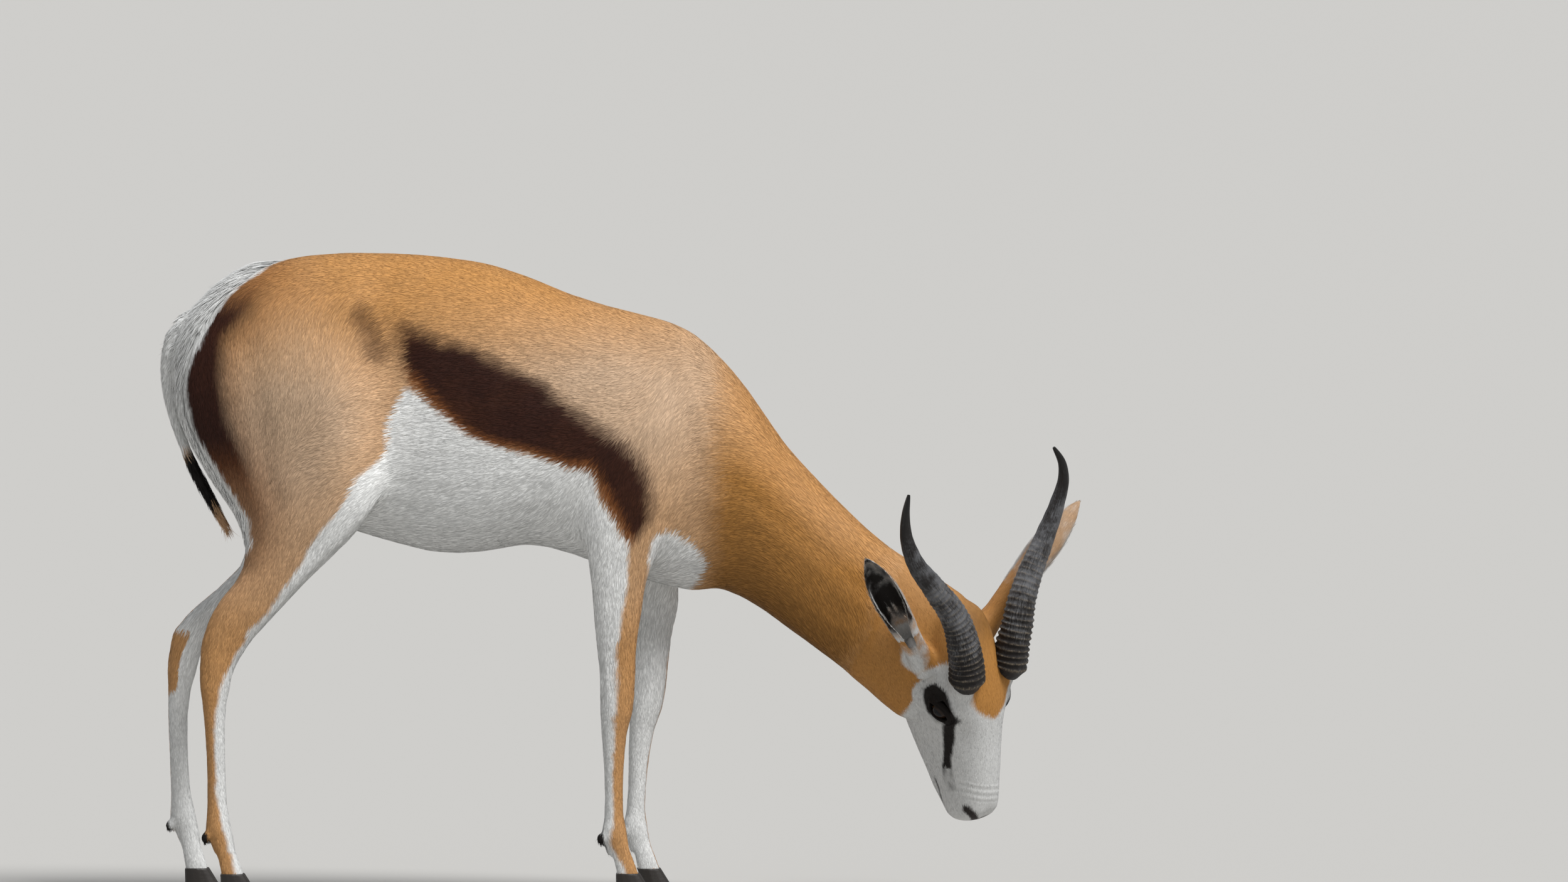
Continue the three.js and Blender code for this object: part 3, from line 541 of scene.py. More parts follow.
class Value:
    """A number that a tree works out; Python's operators add its Math nodes."""

    def __init__(self, owner: Nodes, socket: Socket) -> None:
        """Wraps a socket of the tree."""
        self.owner = owner
        self.socket = socket

    def _math(self, operation: str, *others: "Value | float", clamp: bool = False) -> "Value":
        """A Math node on this value and others."""
        node = self.owner.node("ShaderNodeMath", {"operation": operation, "use_clamp": clamp},
                               dict(enumerate((self, *others))))
        return Value(self.owner, node.outputs[0])

    def __add__(self, other: "Value | float") -> "Value":
        """Sum."""
        return self._math("ADD", other)

    __radd__ = __add__

    def __sub__(self, other: "Value | float") -> "Value":
        """Difference."""
        return self._math("SUBTRACT", other)

    def __rsub__(self, other: float) -> "Value":
        """Difference from a number."""
        return self._math("MULTIPLY_ADD", -1.0, other)

    def __mul__(self, other: "Value | float") -> "Value":
        """Product."""
        return self._math("MULTIPLY", other)

    __rmul__ = __mul__

    def __pow__(self, other: "Value | float") -> "Value":
        """Power."""
        return self._math("POWER", other)

    def rise(self, low: float, high: float) -> "Value":
        """Zero below low, one above high, smooth between."""
        node = self.owner.node("ShaderNodeMapRange", {"interpolation_type": "SMOOTHSTEP"},
                               {"Value": self, "From Min": low, "From Max": high})
        return Value(self.owner, node.outputs["Result"])

    def above(self, limit: float) -> "Value":
        """One above a limit, or else zero."""
        return self._math("GREATER_THAN", limit)

    def below(self, limit: float) -> "Value":
        """One below a limit, or else zero."""
        return self._math("LESS_THAN", limit)

    def sine(self) -> "Value":
        """Sine."""
        return self._math("SINE")

    def clamped(self) -> "Value":
        """The value held between zero and one."""
        return self._math("ADD", 0.0, clamp=True)


class Shader(Nodes):
    """A material under construction."""

    def __init__(self, name: str) -> None:
        """Starts a material with an empty tree."""
        self.material = bpy.data.materials.new(name)
        self.material.use_nodes = True
        self.tree = self.material.node_tree
        self.tree.nodes.clear()

    def stored(self, name: str) -> Value:
        """A number stored on the mesh."""
        return Value(self, self.node("ShaderNodeAttribute", {"attribute_name": name}).outputs["Fac"])

    def stored_vector(self, name: str) -> Socket:
        """A direction or place stored on the mesh."""
        return self.node("ShaderNodeAttribute", {"attribute_name": name}).outputs["Vector"]

    def place(self) -> Socket:
        """The point of the surface, in the object's own frame."""
        return self.node("ShaderNodeTexCoord").outputs["Object"]

    def noise(self, at: object, scale: float, detail: float = 2.0, rough: float = 0.5) -> Value:
        """Soft noise from zero to one at a place."""
        made = self.node("ShaderNodeTexNoise", {"noise_dimensions": "3D"},
                         {"Vector": at, "Scale": scale, "Detail": detail, "Roughness": rough})
        return Value(self, made.outputs["Fac"])

    def stretched(self, at: object, by: Place) -> Socket:
        """A place scaled along each axis."""
        return self.node("ShaderNodeMapping", {"vector_type": "POINT"}, {"Vector": at, "Scale": by}).outputs[0]

    def mix(self, share: Value | float, first: object, second: object) -> Socket:
        """The first colour, or the second where the share is one."""
        made = self.node("ShaderNodeMix", {"data_type": "RGBA", "clamp_factor": True},
                         {0: share, 6: first, 7: second})
        return made.outputs[2]

    def shaded(self, colour: object, by: Value) -> Socket:
        """A colour multiplied by a number."""
        grey = self.node("ShaderNodeCombineColor", {}, {0: by, 1: by, 2: by})
        made = self.node("ShaderNodeMix", {"data_type": "RGBA", "blend_type": "MULTIPLY"},
                         {0: 1.0, 6: colour, 7: grey})
        return made.outputs[2]

    def bump(self, height: Value, strength: float, distance: float) -> Socket:
        """A normal bent by a height in metres."""
        return self.node("ShaderNodeBump", {}, {"Height": height, "Strength": strength,
                                                "Distance": distance}).outputs["Normal"]

    def finish(self, colour: object, roughness: Value | float, normal: Socket | None = None,
               **fixed: float) -> Material:
        """Ends the material in one surface shader.

        Args:
            colour: The base colour or its link.
            roughness: The roughness or its link.
            normal: A bumped normal.
            fixed: Other sockets that are the same all over, by name with underscores.

        Returns:
            The material.
        """
        values = {"Base Color": colour, "Roughness": roughness}
        if normal is not None:
            values["Normal"] = normal
        values.update({key.replace("_", " "): value for key, value in fixed.items()})
        surface = self.node("ShaderNodeBsdfPrincipled", {}, values)
        self.node("ShaderNodeOutputMaterial", {}, {"Surface": surface})
        return self.material


# Finishes.


@dataclass(frozen=True)
class CoatFinish:
    """Hair colours of the coat, shared by the skin and every tuft."""

    fawn: Colour = (0.50, 0.345, 0.225)
    rufous: Colour = (0.52, 0.240, 0.058)
    chocolate: Colour = (0.030, 0.009, 0.005)
    russet: Colour = (0.21, 0.072, 0.020)
    white: Colour = (0.74, 0.74, 0.725)
    black: Colour = (0.009, 0.007, 0.006)
    bare: Colour = (0.030, 0.024, 0.022)
    speckle: float = 0.10
    roughness: float = 0.62

    def hair(self, shader: Shader, at: Socket, sway: float) -> Socket:
        """Colour of the coat from the markings stored on the mesh, with painted light and shade over it.

        Args:
            shader: The material under construction.
            at: The place that noise is read at.
            sway: How far the markings' edges wander, in millimetres.

        Returns:
            The colour.
        """
        wander = (shader.noise(at, 90.0, 3.0) - 0.5) * (2 * sway) + (shader.noise(at, 18.0, 2.0) - 0.5) * (2 * sway)
        broad = shader.noise(at, 7.0, 3.0, 0.6)
        warm = (shader.stored("warm") + (broad - 0.5) * 0.30).clamped()
        colour = shader.mix(warm, self.fawn, self.rufous)
        dark = (shader.stored("dark") + wander).rise(-9.0, 8.0)
        brown = shader.mix((shader.stored("red") + (broad - 0.5) * 0.5).clamped(), self.chocolate, self.russet)
        colour = shader.mix(dark * shader.stored("dark_share"), colour, brown)
        colour = shader.mix((shader.stored("white") + wander * 0.8).rise(-3.5, 3.5), colour, self.white)
        colour = shader.mix((shader.stored("black") + wander * 0.6).rise(-2.5, 2.5), colour, self.black)
        colour = shader.mix(shader.stored("bare").clamped(), colour, self.bare)
        # Painted light and shade: the stored brightness lightens and darkens the coat. The colour is darker in the
        # nose's folds and lighter between them, a painted shade of the wrinkles.
        return shader.shaded(colour, shader.stored("tone") * (1.0 - self.crease(shader) * 0.12))

    def crease(self, shader: Shader) -> Value:
        """Folds across the bridge of the nose, from one in a fold to minus one between two."""
        fold = shader.stored("fold")
        start, apart = 112.0, 9.0
        return ((fold - start) * (2 * math.pi / apart)).sine() * fold.rise(105.0, 111.0) * fold.rise(137.0, 130.0)

    def skin(self) -> Material:
        """The skin under the coat, with its hair's colours and a fine nap."""
        shader = Shader("skin_coat")
        place = shader.place()
        fine = shader.noise(place, 900.0, 3.0, 0.6)
        nap = shader.noise(shader.stretched(place, (0.35, 1.0, 1.0)), 1400.0, 2.0)
        colour = shader.shaded(self.hair(shader, place, 5.0), fine * (2 * self.speckle) + (0.94 - self.speckle))
        relief = nap * 0.5 + fine * 0.5 - self.crease(shader) * 0.6
        return shader.finish(colour, self.roughness, shader.bump(relief, 0.35, 0.0012),
                             Specular_IOR_Level=0.15)

    def tufts(self) -> Material:
        """Tufts of hair: one colour a tuft from its root's place, paler at the tip, with single hairs told apart."""
        shader = Shader("tuft_coat")
        root = shader.stored_vector("root")
        along, across, tint = shader.stored("along"), shader.stored("across"), shader.stored("tint")
        strands = (across * 20.0 + tint * 60.0).sine()
        tone = (tint * 0.46 + 0.73) * (along * 0.14 + 0.95) * (strands * 0.04 + 1.0)
        colour = shader.shaded(self.hair(shader, root, 5.0), tone)
        return shader.finish(colour, self.roughness, Specular_IOR_Level=0.15)


@dataclass(frozen=True)
class HornFinish:
    """Dark horn, greyed in patches and worn brown on its rings, with a smooth black tip."""

    dark: Colour = (0.016, 0.013, 0.012)
    grey: Colour = (0.145, 0.147, 0.155)
    worn: Colour = (0.27, 0.215, 0.145)
    tip: Colour = (0.014, 0.013, 0.012)

    def build(self) -> Material:
        """The material, whose grain runs along the horn."""
        shader = Shader("horn_sheath")
        along, around = shader.stored("along"), shader.stored("around")
        place = shader.place()
        turn = around * (2 * math.pi)
        turn = shader.triple(turn.sine() * 9.0, (turn + math.pi / 2).sine() * 9.0, along * 6.0)
        streaks = shader.noise(turn, 3.0, 4.0, 0.65)
        blotches = shader.noise(place, 38.0, 3.0, 0.6)
        chips = shader.noise(place, 300.0, 4.0, 0.7)
        crest = shader.stored("crest")
        middle = along.rise(0.06, 0.30) * (1.0 - along.rise(0.62, 0.95))
        greyed = (blotches * 1.1 + streaks * 1.2 + chips * 0.5 + middle * 0.35 - 1.50).rise(0.0, 0.45)
        colour = shader.mix(greyed, self.dark, self.grey)
        worn = (crest * 0.42 + chips * 0.9 + streaks * 0.6 - 0.98).rise(0.0, 0.45)
        colour = shader.mix(worn * (1.0 - along * 0.6) * 0.7, colour, self.worn)
        colour = shader.mix(along.rise(0.80, 1.0), colour, self.tip)
        rough = (streaks * 0.25 + 0.40) - along * 0.08
        return shader.finish(colour, rough, shader.bump(streaks + chips * 0.6, 0.9, 0.0020),
                             Specular_IOR_Level=0.3)


@dataclass(frozen=True)
class HoofFinish:
    """Black-brown hoof horn with growth rings and fine upright grain."""

    dark: Colour = (0.022, 0.018, 0.015)
    worn: Colour = (0.16, 0.13, 0.10)

    def build(self) -> Material:
        """The material, whose growth rings are level and whose foot is scuffed."""
        shader = Shader("hoof_horn")
        place = shader.place()
        rings = shader.noise(shader.stretched(place, (0.15, 0.15, 1.0)), 420.0, 3.0)
        grain = shader.noise(shader.stretched(place, (1.0, 1.0, 0.12)), 900.0, 3.0)
        height = Value(shader, shader.node("ShaderNodeSeparateXYZ", {}, {0: place}).outputs[2])
        scuffed = (grain * 0.8 + (1.0 - height.rise(0.0, 0.014)) * 0.7 - 0.55).rise(0.0, 0.6)
        colour = shader.mix(scuffed * 0.6, self.dark, self.worn)
        return shader.finish(colour, grain * 0.2 + 0.38, shader.bump(rings * 0.6 + grain * 0.4, 0.4, 0.0008),
                             Specular_IOR_Level=0.4)


@dataclass(frozen=True)
class EyeFinish:
    """Dark brown eye with a long pupil and a wet surface."""

    iris: Colour = (0.012, 0.006, 0.004)
    rays: Colour = (0.024, 0.012, 0.006)
    rim: Colour = (0.006, 0.004, 0.003)
    pupil: Colour = (0.001, 0.001, 0.002)

    def build(self) -> Material:
        """The material, which reads the eye's own stored angles."""
        shader = Shader("eye_wet")
        level, upright = shader.stored("level"), shader.stored("upright")
        pupil = (level ** 2.0 * 3.2 + upright ** 2.0 * 16.0).rise(0.75, 1.05)
        rays = shader.noise(shader.triple(level, upright), 30.0, 3.0)
        iris = shader.mix(rays, self.iris, self.rays)
        edge = (level ** 2.0 + upright ** 2.0).rise(0.55, 0.80)
        colour = shader.mix(edge, shader.mix(pupil, self.pupil, iris), self.rim)
        return shader.finish(colour, 0.12, Specular_IOR_Level=0.18, Coat_Weight=0.04, Coat_Roughness=0.03)


@dataclass(frozen=True)
class BareSkinFinish:
    """Moist dark skin of the lids."""

    colour: Colour = (0.006, 0.005, 0.005)
    worn: Colour = (0.014, 0.010, 0.008)
    roughness: float = 0.50

    def build(self) -> Material:
        """The material, finely pebbled."""
        shader = Shader("bare_skin")
        pebbles = shader.noise(shader.place(), 1500.0, 2.0)
        return shader.finish(shader.mix(pebbles, self.colour, self.worn), pebbles * 0.2 + self.roughness,
                             shader.bump(pebbles, 0.4, 0.0005), Specular_IOR_Level=0.1)


# The body's surface.


@dataclass
class Skin:
    """One unbroken skin over all the solids of flesh, inside them by the depth of the coat."""

    voxel: float = 0.0018
    close_gap: float = 0.0004
    smoothing_steps: int = 60
    last_smoothing: int = 4
    triangles: int = 112_000
    longest: float = 8.0
    evenness: ByRegion = ByRegion(torso=0.62, neck=0.60, head=0.10, ears=0.02, tail=0.10, upper_legs=0.40,
                                  lower_legs=0.10, hooves=0.02)
    coat_depth: ByRegion = ByRegion(torso=1.5, neck=1.8, head=0.7, ears=0.35, tail=0.5, upper_legs=1.3,
                                    lower_legs=0.8, hooves=1.6)
    tail_width: Stops = ((0.0, 15.0), (0.25, 12.0), (0.6, 7.0), (1.0, 3.4))
    pedicle: tuple[Place, Place] = ((-4.0, 25.0, 4.0), (-31.0, 36.0, 34.0))
    pedicle_widths: tuple[float, ...] = (15.0, 18.0, 19.5, 20.0, 20.0, 19.5, 17.5, 12.0)

    def _solids(self) -> tuple[Array, Array, Array]:
        """The points and triangles of the solids of flesh and hooves, and the region of each triangle."""
        points, triangles, owners = [], [], []
        count = 0
        for number, region in enumerate(REGIONS):
            if region is Region.TAIL:
                sources = [self._tail()]
            elif region is Region.HEAD:
                sources = [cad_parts["head"].data, self._pedicle(-1), self._pedicle(1)]
            else:
                sources = [node.data for name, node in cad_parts.items()
                           if name == region.value or region is Region.HOOF and name.startswith("hoof")]
            for source in sources:
                corners = triangles_of(source)
                points.append(vertices_of(source))
                triangles.append(corners + count)
                owners.append(np.full(len(corners), number))
                count += len(source.vertices)
        return np.concatenate(points), np.concatenate(triangles), np.concatenate(owners)

    def _tail(self) -> Mesh:
        """The thin flesh of the tail, which its hair hides."""
        spine = rounded(TAIL_LINE, False, 5)
        radii = ramp(np.linspace(0, 1, len(spine)), self.tail_width) * MM
        return swept("tail_flesh", spine, radii, 14, np.array([0.0, 1.0, 0.0]))

    def _pedicle(self, side: int) -> Mesh:
        """The haired stump that one horn stands on."""
        line = np.linspace(*(np.array(end) * (1, side, 1) for end in self.pedicle), len(self.pedicle_widths))
        radii = np.array(self.pedicle_widths) * MM
        return swept("pedicle", HEAD.out(line), radii, 24, HEAD.way([(0.3, 0.0, 1.0)])[0])

    def _surface(self, points: Array, triangles: Array) -> Mesh:
        """The outer surface of the solids taken as one, without the gaps between them."""
        level = level_set(points, triangles, self.voxel)
        made, threes, fours = level.convertToPolygons(isovalue=self.close_gap, adaptivity=0.0)
        return mesh_from("skin", made.astype(float), [threes[:, ::-1], fours[:, (2, 1, 0)], fours[:, (3, 2, 0)]])

    def build(self) -> Object:
        """Makes the skin, with the number of each point's region stored on it.

        Returns:
            The skin's object.
        """
        points, triangles, owners = self._solids()
        tree = BVHTree.FromPolygons([tuple(p) for p in points.tolist()], triangles.tolist())
        piece = shown("skin", self._surface(points, triangles))
        _, region = self._smooth(piece.data, tree, owners, self.smoothing_steps, 30)
        self._thin(piece, region)
        mesh = piece.data
        place, region = self._smooth(mesh, tree, owners, self.last_smoothing, 0)
        web = Web(edges_of(mesh), len(place))
        depth = web.blurred(self.coat_depth.at(region), 12)
        place -= normals_of(mesh) * (depth[:, None] * MM + self.close_gap)
        body = web.blurred(among(region, Region.TORSO, Region.NECK, *UPPER_LEGS), 10)
        place = Relief().raised(place, normals_of(mesh), body)
        for eye in EYE_FRAMES:
            place = eye.seated(place)
        put_vertices(mesh, place)
        put_values(mesh, "region", region.astype(np.int32))
        mesh.shade_smooth()
        return piece

    def _smooth(self, mesh: Mesh, tree: BVHTree, owners: Array, steps: int, spread: int) -> tuple[Array, Array]:
        """Evens the mesh out, more on the trunk than on the head and feet.

        Args:
            mesh: The mesh.
            tree: The solids' triangles.
            owners: The region of each of them.
            steps: Rounds of evening out.
            spread: Steps that the change from one region to the next takes.

        Returns:
            The moved points, and the region of each.
        """
        place = vertices_of(mesh)
        region = owners[np.array([tree.find_nearest(p)[2] for p in place.tolist()])]
        web = Web(edges_of(mesh), len(place))
        even = web.blurred(self.evenness.at(region), spread)
        place = web.evened(place, even[:, None], steps)
        put_vertices(mesh, place)
        return place, region

    def _thin(self, piece: Object, region: Array) -> None:
        """Takes faces away where the surface is plain, and keeps them on the head, ears and feet."""
        fine = among(region, Region.HEAD, *EARS, Region.TAIL, *LOWER_LEGS)
        group = piece.vertex_groups.new(name="thin")
        group.add(np.flatnonzero(~fine).tolist(), 1.0, "REPLACE")
        group.add(np.flatnonzero(fine).tolist(), 0.30, "REPLACE")
        thin = piece.modifiers.new("thin", "DECIMATE")
        thin.ratio = self.triangles / len(triangles_of(piece.data))
        thin.vertex_group = "thin"
        thin.vertex_group_factor = 0.6
        applied(piece)
        piece.vertex_groups.clear()
        self._even(piece.data)

    def _even(self, mesh: Mesh) -> None:
        """Splits long edges, so that the markings and the lie are told apart everywhere."""
        work = bmesh.new()
        work.from_mesh(mesh)
        for _ in range(3):
            long = [edge for edge in work.edges if edge.calc_length() > self.longest * MM]
            bmesh.ops.subdivide_edges(work, edges=long, cuts=1)
            bmesh.ops.triangulate(work, faces=[face for face in work.faces if len(face.verts) > 3])
        work.to_mesh(mesh)
        work.free()
        log.info("skin evened to %d triangles", len(mesh.polygons))


@dataclass(frozen=True)
class Swell:
    """A rise or a hollow of the flesh along a line on both sides of the body, in millimetres."""

    line: Outline
    width: float
    height: float


@dataclass(frozen=True)
class Relief:
    """Muscles, bones and folds that show under the coat."""

    swells: tuple[Swell, ...] = (
        Swell(((-300, 708), (-280, 660)), 26, -4.5), Swell(((-322, 765), (-330, 740)), 20, 3.5),
        Swell(((-385, 700), (-375, 640)), 48, 4.5), Swell(((-455, 690), (-432, 560), (-420, 500)), 13, -2.6),
        Swell(((-335, 560), (-320, 500)), 34, 3.5), Swell(((-410, 520), (-440, 440)), 24, 2.5),
        Swell(((-380, 440), (-425, 380)), 12, -2.0), Swell(((78, 700), (112, 570)), 11, 3.0),
        Swell(((32, 690), (24, 570)), 20, -3.2), Swell(((48, 585), (36, 520)), 34, 4.2),
        Swell(((118, 540), (112, 505)), 22, 4.0), Swell(((66, 520), (60, 480)), 12, -2.4),
        Swell(((150, 520), (330, 372)), 13, -2.4), Swell(((130, 610), (330, 455)), 26, 2.2),
        Swell(((-30, 690), (-250, 735)), 24, 1.6), Swell(((-190, 640), (-205, 520)), 9, 0.8),
        Swell(((-150, 640), (-163, 510)), 9, 0.9), Swell(((-110, 640), (-120, 505)), 9, 0.9),
        Swell(((-70, 630), (-78, 505)), 9, 0.8))

    def raised(self, points: Array, normals: Array, share: Array) -> Array:
        """The points moved out or in by the relief.

        Args:
            points: The skin's points.
            normals: Their normals.
            share: How much of the relief each point takes.

        Returns:
            The moved points.
        """
        side = points[:, (0, 2)]
        height = np.zeros(len(points))
        for swell in self.swells:
            height += swell.height * bell(away(side, swell.line), 0.0, swell.width)
        facing = ease(0.15, 0.75, np.abs(normals[:, 1]))
        return points + normals * (height * facing * share)[:, None] * MM


class Web:
    """The edges of a mesh, for averaging over neighbours."""

    def __init__(self, edges: Array, count: int) -> None:
        """Keeps the edges and the number of neighbours of each point."""
        self.edges = edges
        self.count = count
        self.degree = np.maximum(np.bincount(edges.ravel(), minlength=count), 1).astype(float)

    def average(self, values: Array) -> Array:
        """The mean of each point's neighbours."""
        if values.ndim == 2:
            return np.stack([self.average(values[:, k]) for k in range(values.shape[1])], 1)
        a, b = self.edges[:, 0], self.edges[:, 1]
        total = np.bincount(a, values[b], self.count) + np.bincount(b, values[a], self.count)
        return total / self.degree

    def evened(self, place: Array, share: Array | float, steps: int) -> Array:
        """Points moved towards the middle of their neighbours, by a share of the way at each step."""
        for _ in range(steps):
            place = place + (self.average(place) - place) * share
        return place

    def blurred(self, values: Array, steps: int) -> Array:
        """Values spread over the mesh by a number of steps."""
        values = values.astype(float)
        for _ in range(steps):
            values = 0.5 * values + 0.5 * self.average(values)
        return values


@dataclass
class Lie:
    """Which way the hair lies all over the body, by strokes from root to tip in millimetres."""

    strokes: tuple[Track, ...] = (
        ((330, 50, 560), (160, 50, 690)), ((330, 50, 420), (130, 50, 560)), ((160, 50, 690), (60, 50, 720)),
        ((130, 50, 520), (60, 50, 440)), ((60, 50, 725), (-400, 50, 805)), ((-400, 50, 805), (-530, 50, 740)),
        ((-530, 50, 740), (-560, 50, 640)), ((80, 50, 400), (-300, 50, 430)), ((80, -40, 690), (0, -50, 480)),
        ((80, 140, 690), (0, 150, 480)), ((20, -50, 620), (-250, -50, 600)), ((20, 150, 620), (-250, 150, 600)),
        ((-250, -50, 600), (-380, -60, 560)), ((-250, 150, 600), (-380, 160, 560)),
        ((-380, -50, 720), (-420, -50, 520)), ((-380, 150, 720), (-420, 150, 520)),
        ((-500, -10, 720), (-470, -10, 520)), ((-500, 110, 720), (-500, 110, 520)),
        ((-420, -20, 470), (-490, -10, 280)), ((-440, 110, 470), (-540, 110, 290)),
        ((-490, -10, 280), (-480, -10, 0)), ((-540, 110, 290), (-530, 110, 0)), ((10, 0, 460), (5, 0, 0)),
        ((40, 100, 460), (20, 100, 0)), ((-530, 45, 710), (-570, 45, 650)), ((-570, 45, 650), (-540, 35, 560)),
        ((-540, 35, 560), (-480, 28, 440)))
    head_strokes: tuple[Track, ...] = (
        ((158, 0, -20), (0, 0, 36)), ((0, 0, 36), (-110, 0, 20)), ((150, 25, -40), (-100, 40, -40)),
        ((150, -25, -40), (-100, -40, -40)), ((140, 0, -64), (-60, 0, -100)))
    ear_strength: float = 3.0

    def at(self, points: Array, normals: Array) -> Array:
        """The hair's direction all over the skin.

        Args:
            points: The skin's points.
            normals: Their normals.

        Returns:
            One direction for each point, along the surface.
        """
        way = np.zeros_like(points)
        strokes = [(np.array(ends, float) * MM, 1.0) for ends in self.strokes]
        strokes += [(HEAD.out(ends), 1.0) for ends in self.head_strokes]
        strokes += [(HEAD.out([ear.root, ear.tip]), self.ear_strength) for ear in (EAR_RIGHT, EAR_LEFT)]
        for (start, end), strength in strokes:
            near, _ = nearest_on(points, start, end)
            way += unit(end - start) * (strength / (near ** 2 + 4e-4) ** 1.6)[:, None]
        way = unit(way)
        way -= (way * normals).sum(1)[:, None] * normals
        return unit(way)


class Fringe(Enum):
    """Places where longer hair grows through the short coat."""

    NONE = 0
    CROUP = 1
    RUMP = 2
    TAIL = 3
    EARS = 4

    def stored(self, plain: str) -> str:
        """Name of the attribute that a tuft of this kind reads."""
        return plain if self is Fringe.NONE else f"fringe_{plain}"


@dataclass
class Grooming:
    """How long the hair is, how far it stands up, and where longer hair grows."""

    croup: Outline = ((-405, 806), (-426, 803), (-450, 797), (-473, 788), (-490, 770), (-513, 756), (-532, 738),
                      (-546, 716))
    croup_width: float = 38.0
    croup_hair: float = 33.0
    croup_lift: float = 0.17
    ear_fringe: float = 11.0
    cup_hair: float = 3.5
    short: ByRegion = ByRegion(torso=12.5, neck=14.0, head=5.0, ears=5.5, tail=13.0, upper_legs=11.0, lower_legs=6.5,
                               hooves=5.0)
    rump_depth: float = 4.0
    rump_hair: Stops = ((0.45, 14.0), (0.55, 22.0), (0.70, 28.0))
    rump_lift: Stops = ((0.45, 0.04), (0.60, 0.08), (0.72, 0.12))
    tuft_hair: Stops = ((0.63, 20.0), (0.75, 36.0), (1.0, 30.0))
    tail_lift: Stops = ((0.2, 0.20), (0.6, 0.10), (0.75, 0.04))

    def store(self, mesh: Mesh) -> None:
        """Stores the hair's length, its lift and the fringes on the skin."""
        points, normals = vertices_of(mesh), normals_of(mesh)
        region = regions_of(mesh)
        on_tail = among(region, Region.TAIL)
        white = values_of(mesh, "white")
        behind = among(region, Region.TORSO, *UPPER_LEGS) & (points[:, 0] < -0.40)
        ridge = line_distance(points[:, (0, 2)], rounded(self.croup, False)) / MM
        croup = behind & (white > 2) & (ridge < 30) & (np.abs(points[:, 1] - MIDDLE_Y) / MM < self.croup_width)
        rump = behind & (white > self.rump_depth) & (points[:, 0] < -0.44) & (points[:, 2] > 0.45) & ~croup
        along = share_along(points, rounded(TAIL_LINE, False, 5))
        tuft = on_tail & (along > self.tuft_hair[0][0])
        fringe = np.zeros(len(points), np.int32)
        fringe[rump] = Fringe.RUMP.value
        fringe[croup] = Fringe.CROUP.value
        fringe[tuft] = Fringe.TAIL.value
        hair = self.short.at(region)
        for ear, part in ((EAR_RIGHT, Region.EAR_RIGHT), (EAR_LEFT, Region.EAR_LEFT)):
            share, outward, _, _ = ear.look(points, normals)
            own = among(region, part)
            fringe[own & (outward > -0.5) & (outward < 0.22) & (share > 0.15)] = Fringe.EARS.value
            hair[own & (outward > 0.15)] = self.cup_hair
        long = np.full(len(points), self.ear_fringe)
        long[croup] = self.croup_hair
        long[rump] = ramp(points[rump, 2], self.rump_hair)
        long[tuft] = ramp(along[tuft], self.tuft_hair)
        lift, raised = np.zeros(len(points)), np.zeros(len(points))
        lift[on_tail] = ramp(along[on_tail], self.tail_lift)
        raised[croup] = self.croup_lift
        raised[rump] = ramp(points[rump, 2], self.rump_lift)
        web = Web(edges_of(mesh), len(points))
        for name, values, spread in (("hair", hair, 6), ("lift", lift, 20), ("fringe_hair", long, 3),
                                     ("fringe_lift", raised, 4)):
            put_values(mesh, name, web.blurred(values, spread))
        put_values(mesh, "fringe", fringe)


# Markings.


@dataclass
class LegLine:
    """Where one leg stands at each height, found from the skin itself."""

    regions: tuple[Region, Region]
    outward: float
    steps: int = 40

    def measure(self, points: Array, region: Array) -> "LegLine":
        """Finds the leg's front, back and sides at each height.

        Args:
            points: The skin's points.
            region: The region of each point.

        Returns:
            This leg.
        """
        own = points[among(region, *self.regions)]
        self.heights = np.linspace(own[:, 2].min() + 0.004, own[:, 2].max() - 0.004, self.steps)
        reach = (self.heights[1] - self.heights[0]) * 0.8
        rows = [own[np.abs(own[:, 2] - h) < reach] for h in self.heights]
        self.back = np.array([r[:, 0].min() for r in rows])
        self.front = np.array([r[:, 0].max() for r in rows])
        self.middle = np.array([(r[:, 1].min() + r[:, 1].max()) / 2 for r in rows])
        self.half = np.array([(r[:, 1].max() - r[:, 1].min()) / 2 for r in rows])
        return self

    def look(self, points: Array) -> tuple[Array, Array, Array]:
        """Reads points against the leg.

        Args:
            points: The skin's points.

        Returns:
            Place from the leg's back (-1) to its front (1), place from its inner (-1) to its outer side (1), and
            distance behind its front edge in metres.
        """
        at = points[:, 2]
        back, front = np.interp(at, self.heights, self.back), np.interp(at, self.heights, self.front)
        middle, half = np.interp(at, self.heights, self.middle), np.interp(at, self.heights, self.half)
        fore = (points[:, 0] - (front + back) / 2) / np.maximum((front - back) / 2, 1e-4)
        out = self.outward * (points[:, 1] - middle) / np.maximum(half, 1e-4)
        return fore, out, front - points[:, 0]


